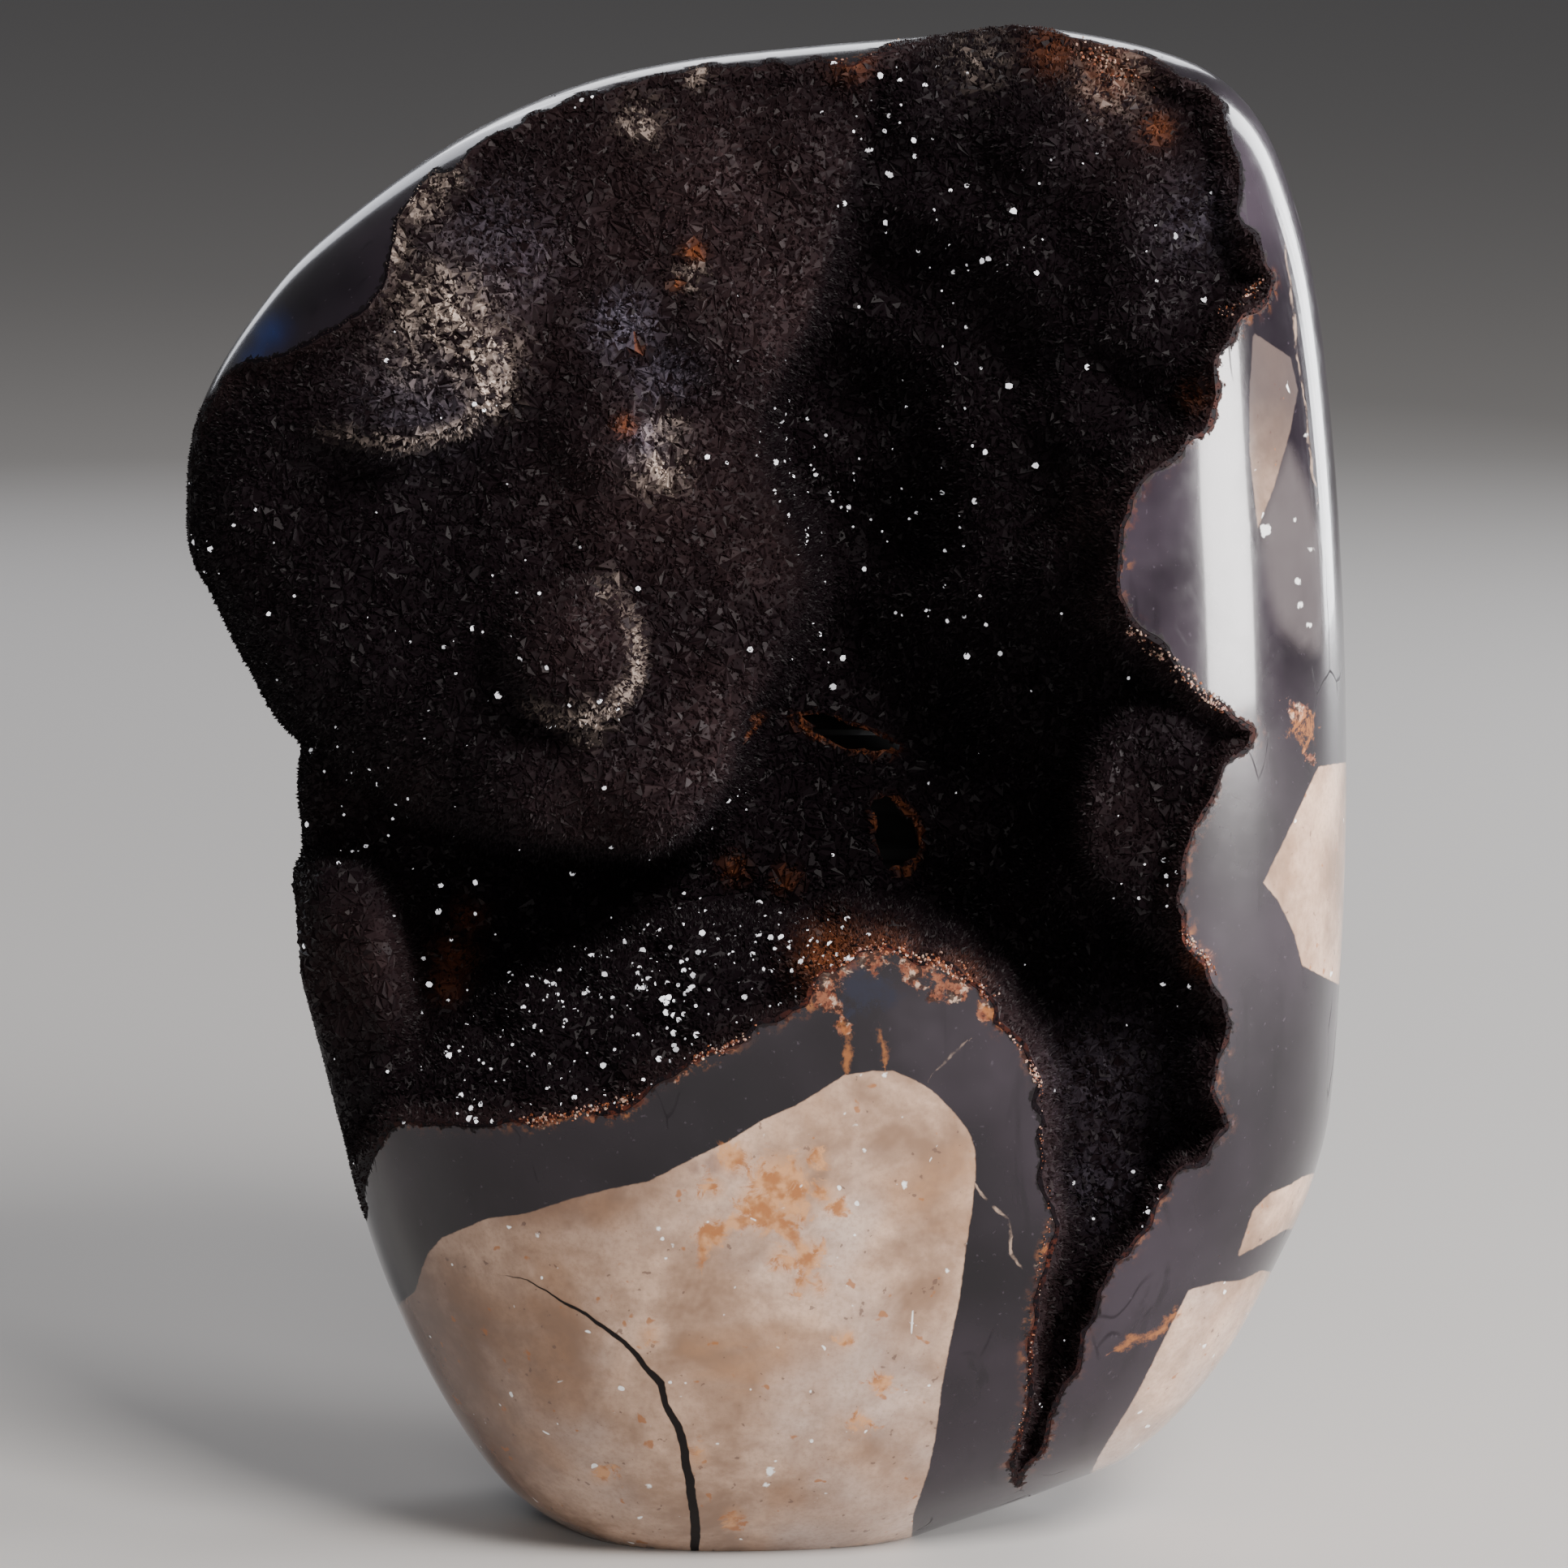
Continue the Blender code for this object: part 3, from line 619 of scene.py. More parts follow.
def brightCrystals(foot, normal, room, flat, depth, dice):
    # short six-sided crystals with a flat end turned more or less to the front, painted white and glowing
    # as a glint
    count = len(foot)
    low, high = crystals["bright"]
    half = low + (high - low) * dice.random(count) ** crystals["fewLarge"]
    axis = unitRows(0.4 * normal - aheadAxis + 0.3 * dice.normal(size=(count, 3)))
    one = unitRows(np.cross(axis, dice.normal(size=(count, 3))))
    two = np.cross(axis, one)
    turns = np.arange(6) * math.pi / 3.0
    spokes = one[:, None] * np.cos(turns)[:, None] + two[:, None] * np.sin(turns)[:, None]
    ring = spokes * half[:, None, None] * dice.uniform(0.7, 1.15, (count, 6, 1))
    rise = np.minimum(0.25 + 0.6 * half, 0.7 * room)[:, None] * axis
    places = np.concatenate([ring + (foot - 0.2 * axis)[:, None], ring + (foot + rise)[:, None]], 1)
    faces = []
    for start in range(0, 12 * count, 12):
        faces += [(start + k, start + (k + 1) % 6, start + 6 + (k + 1) % 6, start + 6 + k)
                  for k in range(6)]
        faces.append(tuple(range(start + 6, start + 12)))
    item = meshObject("crystals_bright", places.reshape(-1, 3), faces)
    ends = np.zeros((count, 7))
    ends[:, 6] = dice.uniform(0.35, 1.0, count)
    setAttribute(item, "glint", ends.ravel(), "FACE")
    setAttribute(item, "tone", dice.random(7 * count), "FACE")
    colourByPlace(item, np.repeat(flat, 7, 0), np.repeat(depth, 7))
    return item


def pointedCrystals(skin):
    foot, axis, half, rise, flat, depth, bright, dice = crystalPoints(skin)
    count = len(foot)
    one = unitRows(np.cross(axis, unitRows(dice.normal(size=(count, 3)))))
    two = np.cross(axis, one)
    base = foot - axis * (0.35 * half)[:, None]
    corners = [base + (one * x + two * y) * half[:, None] * dice.uniform(0.7, 1.2, (count, 1))
               for x, y in ((1, 0), (0, 1), (-1, 0), (0, -1))]
    tip = foot + axis * rise[:, None] + one * (half * dice.uniform(-0.3, 0.3, count))[:, None]
    places = np.stack(corners + [tip], 1)
    sides = np.array([(0, 1, 4), (1, 2, 4), (2, 3, 4), (3, 0, 4)])
    tone = np.repeat(dice.random(count), 4) * 0.6 + dice.random(4 * count) * 0.4
    lobeIn = inside(flat, hollow["lobe"])
    beyond = lobeIn < 0.0
    low, high = flat[:, 1] < crystals["parts"][0], flat[:, 1] > crystals["parts"][1]
    made = [bright]
    for name, part in (("crystals_lobe", ~beyond), ("crystals_floor", beyond & low),
                       ("crystals_deep", beyond & ~low & ~high), ("crystals_top", beyond & high)):
        chosen = np.flatnonzero(part)
        faces = (sides[None] + 5 * np.arange(len(chosen))[:, None, None]).reshape(-1, 3)
        item = meshObject(name, places[chosen].reshape(-1, 3), faces.tolist())
        setAttribute(item, "tone", tone.reshape(-1, 4)[chosen].ravel(), "FACE")
        setAttribute(item, "glint", np.zeros(4 * len(chosen)), "FACE")
        colourByPlace(item, np.repeat(flat[chosen], 4, 0), np.repeat(depth[chosen], 4))
        made.append(item)
    return made


liningItem = evened(pushed(copied(hollowItem, "lining"), -crystals["thickness"]),
                    crystals["voxel"])
thinned(jittered(liningItem, crystals["jitter"], crystals["jitterSeed"]), crystals["keep"])
report("lining ready " + counted(liningItem))

polishItem = restingForm("polish")
polishTree = treeOf(polishItem)
stoneBody = copied(polishItem, "stone_body")
crust = copied(polishItem, "crust")
bpy.data.objects.remove(polishItem, do_unlink=True)
bed = pushed(thinned(copied(hollowItem, "bed"), crystals["bedKeep"]), -hollow["gap"])
cut(crust, bed, "INTERSECT")
liningTree = treeOf(liningItem)
cut(crust, liningItem, "DIFFERENCE")
cut(stoneBody, hollowItem, "DIFFERENCE")
for hole in holes:
    cut(stoneBody, holeForm(hole, holeShape["clearance"]), "DIFFERENCE")
    cut(crust, holeForm(hole, 0.0), "DIFFERENCE")
report("stone cut " + counted(stoneBody))
report("crust cut " + counted(crust))
crystalLining, crustPlaces, crustFaces, crystalNumber, skin = raiseCrystals(
    crust, liningTree, polishTree)
report("crystals raised " + counted(crystalLining))
crystalTree = treeOf(crystalLining)

# What shows on the polish, in millimetres: mudstone blocks as seen from in front, (u, v)
markings = {
    "blocks": {
        "lower": [
            (-46.6, 33.4), (-45.8, 36.1), (-45.0, 38.2), (-43.1, 40.4), (-40.4, 41.5),
            (-37.2, 42.9), (-31.8, 43.6), (-26.4, 45.4), (-21.0, 46.8), (-15.6, 47.9),
            (-12.4, 49.5), (-9.2, 51.2), (-4.8, 53.3), (-0.5, 56.0), (3.8, 57.9), (7.0, 59.8),
            (10.2, 61.9), (14.0, 62.5), (16.7, 62.5), (19.9, 61.2), (22.1, 59.8), (24.8, 57.1),
            (26.9, 54.4), (27.7, 51.7), (27.7, 48.5), (27.1, 43.1), (26.4, 38.8), (25.6, 32.3),
            (24.2, 25.8), (23.2, 20.5), (22.4, 14.0), (21.5, 9.7), (19.4, 3.4), (18.3, -16.0),
            (-37.2, -16.0), (-60.0, 10.8), (-54.0, 26.9),
        ],
        "rightUpper": [
            (73.2, 102.9), (69.5, 94.8), (65.9, 87.5), (67.9, 85.1), (70.0, 80.8), (71.1, 76.5),
            (83.5, 70.0), (87.8, 91.5), (83.5, 104.5),
        ],
        "rightLower": [
            (62.5, 37.9), (64.6, 44.2), (66.8, 46.3), (69.5, 47.4), (71.1, 48.5), (82.0, 51.5),
            (82.0, 42.5), (68.9, 41.5), (65.2, 39.3),
        ],
        "rightFoot": [
            (44.2, 11.6), (49.0, 19.4), (53.3, 28.0), (56.0, 33.4), (59.8, 34.5), (63.0, 34.7),
            (65.7, 36.1), (84.0, 32.0), (76.0, 4.0), (49.0, -6.0), (40.5, 4.0),
        ],
        "rightSliver": [
            (64.6, 160.5), (69.5, 157.2), (70.5, 152.9), (69.5, 147.5), (67.3, 140.0),
            (65.2, 134.6), (64.1, 144.3), (64.1, 152.9),
        ],
    },
    # hearts of the blocks on the sides and the back, as (x, y, z)
    "hearts": [
        (-38.0, 46.0, 158.0), (4.0, 52.0, 176.0), (48.0, 44.0, 168.0), (-22.0, 54.0, 118.0),
        (30.0, 56.0, 126.0), (-52.0, 34.0, 92.0), (-6.0, 56.0, 74.0), (60.0, 40.0, 92.0),
        (38.0, 50.0, 58.0), (-34.0, 44.0, 40.0), (8.0, 48.0, 22.0), (56.0, 24.0, 40.0),
        (78.0, 16.0, 140.0), (8.0, 20.0, -14.0), (12.0, 18.0, 212.0),
    ],
    "vein": 4.6,
    # how the border between the front's blocks and the others wanders with height, as
    # (amount, length, start)
    "wander": ((7.0, 17.0, 1.0), (4.0, 7.3, 0.0)),
    "frontReach": 6.0,
    "backStart": 16.0,
    "crack": [
        (-34.5, 35.3), (-31.8, 34.8), (-27.5, 32.3), (-23.2, 29.6), (-18.8, 26.4),
        (-15.6, 22.6), (-14.0, 21.0), (-13.5, 18.3), (-11.8, 15.1), (-10.8, 11.8),
        (-10.2, 7.5), (-9.5, 3.2), (-9.5, -1.5),
    ],
    "crackHalf": (0.04, 0.62),
    # thin lines, as (points, half width)
    "rustLines": [
        ([(10.2, 68.9), (10.6, 66.0), (10.4, 62.5)], 0.35),
        ([(15.1, 67.9), (15.6, 63.5)], 0.3),
        ([(46.5, 25.6), (49.0, 26.9), (52.2, 28.0), (54.9, 31.2)], 0.35),
        ([(-8.5, 36.6), (-8.1, 40.4), (-4.8, 42.5), (0.5, 43.1), (3.2, 40.9), (5.9, 37.2),
          (4.6, 34.6)], 0.9),
        ([(28.8, 71.0), (30.4, 69.0)], 0.5),
    ],
    "creamLines": [
        ([(27.8, 47.8), (28.9, 45.6), (30.7, 44.2), (31.9, 42.8), (32.5, 40.4), (32.5, 38.2),
          (33.4, 36.8), (34.4, 36.1), (35.6, 36.6)], 0.22),
        ([(68.4, 176.0), (70.2, 160.0), (71.6, 149.0), (73.0, 138.0)], 0.16),
        ([(22.1, 61.9), (24.6, 64.6), (26.4, 66.2)], 0.16),
    ],
    "whiteLines": [
        ([(19.4, 30.8), (19.2, 27.6)], 0.1),
        ([(22.7, 52.6), (21.4, 50.0)], 0.06),
    ],
    # small marks, as (u, v, radius)
    "rustSpots": [
        (1.6, 47.6, 3.2), (-1.0, 44.6, 2.4), (-4.4, 50.8, 1.5), (3.2, 44.2, 2.0), (7.7, 46.2, 0.6),
        (9.0, 44.6, 0.5), (-7.2, 41.0, 1.2), (5.6, 38.4, 1.2), (4.8, 34.4, 0.6), (-7.0, 47.0, 0.5),
        (7.0, 33.9, 0.5), (12.4, 15.8, 0.55), (15.1, 21.0, 0.5),
        (-15.6, 27.5, 0.5), (-9.2, 11.3, 0.4), (-4.3, 3.2, 0.4), (6.6, 51.0, 0.5), (2.2, 37.6, 1.2),
        (71.2, 107.8, 0.9), (-22.0, 9.0, 0.35), (10.5, 27.0, 0.4),
    ],
    "whiteSpots": [
        (0.5, 9.2, 0.7), (-0.2, 7.6, 0.5), (-15.6, 7.5, 0.35), (19.4, 29.1, 0.35),
        (1.6, 25.8, 0.3), (-12.4, 39.3, 0.45), (18.6, 20.0, 0.3), (-30.4, 40.6, 0.3),
        (24.0, 36.0, 0.28), (13.0, 52.0, 0.3), (-20.2, 17.0, 0.3), (58.0, 26.0, 0.35),
        (15.6, 62.0, 0.5), (18.2, 47.4, 0.5), (-14.4, 41.6, 0.5), (6.0, 13.4, 0.3),
        (70.1, 135.6, 0.35), (72.3, 131.8, 0.4), (70.5, 127.5, 0.45), (70.8, 124.5, 0.5),
        (71.5, 146.9, 0.35), (72.1, 121.7, 0.4), (66.3, 134.3, 0.9),
    ],
    # paler places in the calcite, partly pale calcite and partly painted reflection, as (u, v, radius,
    # strength)
    "lighter": [
        (55.0, 132.0, 11.0, 0.8), (60.0, 146.0, 8.0, 0.6), (62.0, 118.0, 6.0, 0.4),
        (21.0, 66.5, 6.5, 1.0), (28.0, 62.0, 5.0, 0.5), (70.0, 128.0, 8.0, 0.7),
        (64.0, 182.0, 9.0, 0.9), (-50.0, 46.0, 5.0, 0.8),
    ],
    # rust along the edge of the hollow
    "edgeRust": [
        (9.0, 72.0, 6.0, 1.0), (16.0, 77.0, 6.0, 1.0), (24.0, 74.0, 5.0, 1.0),
        (32.0, 67.0, 4.0, 0.5), (-8.0, 64.5, 4.0, 0.8), (-20.0, 58.0, 4.5, 0.9),
        (-30.0, 56.5, 5.0, 0.7), (57.0, 79.0, 4.0, 0.9), (70.0, 108.0, 5.0, 1.0),
        (62.0, 108.0, 4.0, 0.4), (37.0, 38.0, 3.0, 0.8), (35.0, 27.0, 6.0, 0.6),
        (34.0, 14.0, 6.0, 0.5), (62.0, 163.0, 3.0, 0.5), (65.0, 166.0, 3.0, 0.6),
        (12.0, 198.0, 4.0, 0.5), (45.0, 196.0, 5.0, 0.5), (58.5, 150.0, 7.0, 0.4),
        (47.5, 132.0, 7.0, 0.45), (60.0, 92.0, 8.0, 0.4), (59.0, 62.0, 7.0, 0.35),
        (50.0, 42.0, 8.0, 0.35), (-48.0, 56.0, 6.0, 0.3),
    ],
    # painted shade: browner and darker towards the left foot
    "shadow": [
        (-52.0, 22.0, 20.0, 1.0), (-44.0, 8.0, 18.0, 0.9), (-56.0, 36.0, 14.0, 1.0),
        (-34.0, 24.0, 12.0, 0.5), (6.0, 2.0, 12.0, 0.25), (-30.0, 50.0, 13.0, 0.7),
    ],
    # the sliver's mudstone is greyer: above this height, at least so much, over this height
    "greySliver": (138.0, 0.55, 14.0),
    # broken rusty and cream crust on the calcite
    "crust": [
        (8.6, 76.4, 2.6, 1.0), (13.6, 78.2, 2.6, 1.0), (19.6, 76.6, 2.8, 1.0),
        (24.6, 73.6, 2.6, 0.9), (21.6, 72.6, 2.2, 0.8), (7.8, 72.2, 2.2, 0.9),
        (10.0, 68.6, 1.5, 0.8), (29.0, 70.0, 1.6, 0.7), (-29.5, 56.4, 1.8, 0.8),
        (-23.0, 57.2, 1.6, 0.8), (-12.0, 62.6, 1.8, 0.8), (-5.0, 65.6, 1.4, 0.6),
        (70.4, 110.6, 1.7, 0.9), (72.2, 104.0, 1.2, 0.7), (58.6, 78.0, 1.5, 0.7),
        (51.0, 119.5, 1.5, 0.6), (56.4, 114.0, 1.5, 0.6),
    ],
    "blue": [(-66.5, 160.8, 2.3, 1.0), (-68.5, 157.5, 1.8, 0.8)],
    "window": [(12.6, 73.4, 3.4, 1.0), (16.0, 73.0, 2.6, 0.8), (10.8, 70.5, 2.2, 0.7)],
    # a milky window beside the sliver
    "milky": [
        (65.5, 135.8), (67.4, 141.1), (69.3, 145.4), (71.5, 140.6), (73.6, 133.4), (74.4, 126.2),
        (74.0, 118.0), (71.2, 118.6), (68.1, 121.6), (66.7, 126.2), (65.9, 131.0),
    ],
    "milkyBorder": 2.6,
    "smudges": [(-6.8, 50.4, 1.6), (-4.4, 48.9, 0.9), (-2.7, 48.2, 0.8), (-9.4, 49.8, 0.8)],
    # painted reflection, the calcite lighter to the right: how much, from where, over how wide a band
    "sheenToRight": (0.2, 38.0, 22.0),
    # marks show where the polish faces the front by this much, and fade in up to this much
    "facing": (0.04, 0.15),
    # how near to the marks the faces are made smaller, for all marks and for the fine ones
    "near": 2.1,
    "fine": 2.0,
    # wall deeper than this is hidden by the crystals, and gets larger faces
    "hidden": 1.6,
    "hiddenKeep": 0.48,
    "sharpAngle": 32.0,
}

# Colour of the druse by place, with painted sheen, highlights, shade and glints: (u, v, radius, strength)
druse = {
    # pale crystals, and a painted highlight where the knob rims face the light
    "pale": [
        (-43.0, 163.0, 5.0, 1.0), (-38.4, 158.0, 4.0, 0.85), (-36.5, 152.5, 2.4, 1.0),
        (-46.0, 158.0, 5.0, 0.3), (-46.0, 178.5, 3.0, 0.7), (-49.8, 172.0, 2.2, 0.7),
        (-42.5, 181.0, 2.0, 0.6), (-16.7, 188.5, 2.4, 0.6), (-9.2, 194.4, 1.3, 0.9),
        (-10.2, 168.0, 1.7, 0.6), (-14.2, 142.5, 2.8, 0.8), (-13.6, 147.0, 2.2, 0.6),
        (-21.0, 126.6, 1.8, 0.3), (-23.5, 108.8, 2.2, 0.6), (46.0, 194.5, 4.0, 0.35),
        (28.0, 197.0, 4.0, 0.15),
    ],
    # frosty grey crystals, partly a painted sheen where the light falls
    "frost": [
        (46.0, 62.0, 8.0, 0.16), (44.0, 48.0, 6.0, 0.12),
        (-19.0, 161.5, 3.6, 0.7), (-15.5, 146.0, 3.0, 0.5), (-46.0, 153.0, 7.0, 0.25),
        (-36.0, 172.0, 8.0, 0.2), (-13.5, 155.0, 4.0, 0.3), (57.5, 176.0, 5.0, 0.15),
    ],
    "rust": [
        (-9.7, 171.2, 1.2, 1.0), (-11.8, 166.9, 0.8, 0.9), (-17.0, 158.5, 0.8, 0.9),
        (-18.8, 148.1, 1.3, 0.7), (-39.8, 82.9, 2.2, 0.3), (-41.5, 77.5, 2.6, 0.4),
        (-42.5, 74.0, 2.2, 0.3), (-4.3, 89.4, 1.6, 0.5), (2.7, 87.8, 1.6, 0.4),
        (45.5, 195.0, 3.6, 0.4), (51.8, 187.5, 1.8, 0.6), (38.0, 198.0, 3.0, 0.4),
        (9.0, 77.0, 4.0, 0.9), (15.0, 76.5, 3.5, 0.8), (24.5, 73.5, 3.0, 0.6),
        (11.0, 197.0, 2.5, 0.5), (59.0, 78.0, 2.5, 0.6), (57.0, 152.0, 2.0, 0.3),
    ],
    # painted sheen: brown where the druse is lit, on the lobe and elsewhere
    "brown": [
        (-30.0, 172.0, 22.0, 0.6), (-10.0, 178.0, 22.0, 0.75), (-14.0, 140.0, 16.0, 0.75),
        (-8.0, 108.0, 12.0, 0.7), (-20.0, 98.0, 14.0, 0.6), (-24.0, 120.0, 9.0, 0.7),
        (0.0, 165.0, 14.0, 0.7), (-3.0, 132.0, 10.0, 0.6), (-50.0, 160.0, 12.0, 0.4),
    ],
    "brownBeyond": [
        (46.0, 96.0, 8.0, 0.3), (43.5, 136.0, 5.0, 0.55), (45.5, 124.0, 4.0, 0.4),
        (-56.0, 76.0, 9.0, 0.85), (50.0, 186.0, 8.0, 0.4), (46.0, 62.0, 9.0, 0.35), (60.0, 148.0, 4.0, 0.3),
        (-56.0, 98.0, 6.0, 0.3), (-48.0, 98.0, 6.0, 0.3),
    ],
    # along the edge of the hollow: how far in, and how brown
    "fringe": (2.6, 0.6),
    "litFrom": (0.75, -0.66),
    "streakAcross": (0.8, 0.6),
    "shade": [
        (-47.0, 132.0, 11.0, 0.95), (-44.0, 120.0, 10.0, 0.9), (-60.0, 138.0, 8.0, 0.7),
        (-40.0, 108.0, 7.0, 0.6),
    ],
    # where many painted glints are: (u, v, radius, strength)
    "glints": [
        (8.0, 142.0, 8.0, 1.0), (14.0, 190.0, 6.0, 0.9), (20.0, 182.0, 9.0, 0.5),
        (26.0, 150.0, 7.0, 0.6), (8.0, 116.0, 3.0, 0.8), (14.0, 166.0, 3.5, 0.7),
        (22.0, 128.0, 8.0, 0.5), (16.0, 138.0, 10.0, 0.45), (-36.8, 151.6, 2.2, 1.0),
        (-27.0, 108.8, 3.0, 0.9), (-20.0, 110.6, 2.4, 1.0), (3.6, 150.0, 3.0, 1.0),
        (-40.0, 118.0, 12.0, 0.3), (-12.0, 72.0, 10.0, 1.9),
        (-28.0, 66.0, 9.0, 1.6), (-36.0, 61.0, 8.0, 1.2), (2.0, 76.0, 7.0, 1.6),
        (-40.0, 84.0, 5.0, 0.7), (50.0, 88.0, 4.0, 0.8), (47.0, 95.0, 4.0, 0.4),
        (-52.0, 96.0, 8.0, 0.4), (-4.0, 97.0, 3.0, 0.6), (38.0, 14.0, 5.0, 0.5),
        (51.0, 46.0, 3.0, 0.6), (-68.0, 130.0, 10.0, 0.2), (54.0, 172.0, 6.0, 0.3),
        (30.0, 172.0, 16.0, 0.2),
    ],
}


def nearLine(points, line):
    # signed distance across a line, and how far along it the nearest point is, 0 to 1
    knots = np.array(line, dtype=float)
    lengths = np.linalg.norm(np.diff(knots, axis=0), axis=1)
    starts = np.concatenate([[0.0], np.cumsum(lengths)])
    best = np.full(len(points), 1e9)
    across = np.zeros(len(points))
    along = np.zeros(len(points))
    for a, b, length, start in zip(knots, knots[1:], lengths, starts):
        run = (b - a) / length
        t = np.clip((points - a) @ run, 0.0, length)
        off = points - (a + t[:, None] * run)
        far = np.linalg.norm(off, axis=1)
        side = np.where(run[0] * off[:, 1] - run[1] * off[:, 0] < 0.0, -1.0, 1.0)
        closer = far < best
        best = np.where(closer, far, best)
        across = np.where(closer, far * side, across)
        along = np.where(closer, (start + t) / starts[-1], along)
    return across, along


def nearSpots(points, spots):
    # how deep within a spot each point lies, in shares of its radius
    best = np.full(len(points), -9.0)
    for u, v, radius in spots:
        best = np.maximum(best, radius - np.hypot(points[:, 0] - u, points[:, 1] - v))
    return best


def patches(points, spots):
    total = np.zeros(len(points))
    for u, v, radius, strength in spots:
        off = ((points[:, 0] - u) ** 2 + (points[:, 1] - v) ** 2) / radius ** 2
        total = np.maximum(total, strength * np.exp(-off))
    return total


def mudDistance(places):
    # distance in from the edge of the nearest mudstone block, negative in the calcite
    flat, depth = sighted(places)
    front = np.full(len(places), -1e9)
    for outline in markings["blocks"].values():
        front = np.maximum(front, inside(flat, outline))
    wander = sum(amount * np.sin(places[:, 2] / length + start)
                 for amount, length, start in markings["wander"])
    front = np.minimum(front, markings["frontReach"] + wander - depth)
    hearts = np.array(markings["hearts"])
    squares = ((places[:, None, :] - hearts) ** 2).sum(2)
    nearest = squares.argmin(1)
    own = squares.min(1)
    apart = np.linalg.norm(hearts[nearest][:, None, :] - hearts, axis=2)
    apart[apart < 1e-6] = 1e9
    gaps = (squares - own[:, None]) / (2.0 * apart)
    gaps[np.arange(len(places)), nearest] = 1e9
    back = gaps.min(1) - markings["vein"]
    back = np.minimum(back, depth - markings["backStart"] - wander)
    return np.maximum(front, back)


def fineDistance(flat):
    best = np.abs(nearLine(flat, markings["crack"])[0])
    for line, half in markings["rustLines"] + markings["creamLines"]:
        best = np.minimum(best, np.abs(nearLine(flat, line)[0]) - half)
    best = np.minimum(best, -nearSpots(flat, markings["rustSpots"] + markings["whiteSpots"]))
    return best


def turnedToFront(item, places):
    # how squarely the surface faces the viewer, 1 in the middle and 0 at the outline
    normals = np.empty(len(places) * 3)
    item.data.vertices.foreach_get("normal", normals)
    return (normals.reshape(-1, 3) * unitRows(eye - places)).sum(1)


def refined(item):
    # smaller faces where the fine markings are
    for reach, everything in ((markings["near"], True), (markings["fine"], False),
                              (markings["fine"] / 2.0, False)):
        places = vertexPlaces(item)
        flat, depth = sighted(places)
        far = fineDistance(flat)
        if everything:
            far = np.minimum(far, np.abs(mudDistance(places)))
            far = np.minimum(far, 1.2 * nearness(crystalTree, places))
        near = (far < reach) & ((depth < 0.0) | everything)
        near &= nearness(polishTree, places) < 0.05
        bm = meshOpened(item)
        bm.verts.ensure_lookup_table()
        edges = [edge for edge in bm.edges
                 if near[edge.verts[0].index] and near[edge.verts[1].index]]
        bmesh.ops.subdivide_edges(bm, edges=edges, cuts=1, use_grid_fill=True)
        bmesh.ops.triangulate(bm, faces=[face for face in bm.faces if len(face.verts) > 4])
        meshClosed(bm, item)


def lineAttributes(item, flat, front, name, lines):
    across = np.full(len(flat), 9.0)
    half = np.full(len(flat), -2.0)
    for line, width in lines:
        off, along = nearLine(flat, line)
        taper = width * (1.0 - 0.6 * np.abs(2.0 * along - 1.0) ** 3)
        closer = np.abs(off) < np.abs(across)
        across = np.where(closer, off, across)
        shown = closer & front & (np.abs(off) < width + 1.2)
        half = np.where(shown, taper, np.where(closer, -2.0, half))
    setAttribute(item, name + "Across", across)
    setAttribute(item, name + "Half", half)


def simplerInside(item):
    # larger faces on the wall that the crystals hide
    deep = nearness(polishTree, vertexPlaces(item)) > markings["hidden"]
    group = item.vertex_groups.new(name="hidden")
    group.add(np.flatnonzero(deep).tolist(), 1.0, "REPLACE")
    thin = item.modifiers.new("Decimate", "DECIMATE")
    thin.ratio = markings["hiddenKeep"]
    thin.vertex_group = "hidden"
    settled(item)
    item.vertex_groups.clear()


def markStone(item):
    simplerInside(item)
    refined(item)
    places = vertexPlaces(item)
    flat = sighted(places)[0]
    facing = turnedToFront(item, places)
    least, fade = markings["facing"]
    front = facing > least
    onFront = np.clip(facing / fade, 0.0, 1.0)
    setAttribute(item, "mud", mudDistance(places))
    setAttribute(item, "below", nearness(polishTree, places))
    setAttribute(item, "edge", nearness(crystalTree, places))
    across, along = nearLine(flat, markings["crack"])
    thin, thick = markings["crackHalf"]
    width = thin + (thick - thin) * np.clip(along * 1.25, 0.0, 1.0)
    setAttribute(item, "crackAcross", across)
    setAttribute(item, "crackHalf", np.where(front & (np.abs(across) < 2.0), width, -2.0))
    for name in ("rust", "cream", "white"):
        lineAttributes(item, flat, front, name, markings[name + "Lines"])
    for name in ("rustSpot", "whiteSpot", "smudge"):
        within = np.where(front, nearSpots(flat, markings[name + "s"]), -9.0)
        setAttribute(item, name, within)
    most, start, reach = markings["sheenToRight"]
    lighter = most * np.clip((flat[:, 0] - start) / reach, 0.0, 1.0)
    lighter = np.maximum(lighter, patches(flat, markings["lighter"]))
    setAttribute(item, "lighter", onFront * lighter)
    for name in ("edgeRust", "shadow", "crust", "blue", "window"):
        setAttribute(item, name, onFront * patches(flat, markings[name]))
    milky = blend(inside(flat, markings["milky"]), markings["milkyBorder"])
    setAttribute(item, "milky", onFront * milky)
    height, least, reach = markings["greySliver"]
    veil = least + (1.0 - least) * np.clip((flat[:, 1] - height) / reach, 0.0, 1.0)
    within = inside(flat, markings["blocks"]["rightSliver"]) > -1.5
    setAttribute(item, "veil", onFront * veil * within)
    mesh = item.data
    mesh.polygons.foreach_set("use_smooth", np.ones(len(mesh.polygons), dtype=bool))
    mesh.set_sharp_from_angle(angle=math.radians(markings["sharpAngle"]))


markStone(stoneBody)
report("stone marked " + counted(stoneBody))


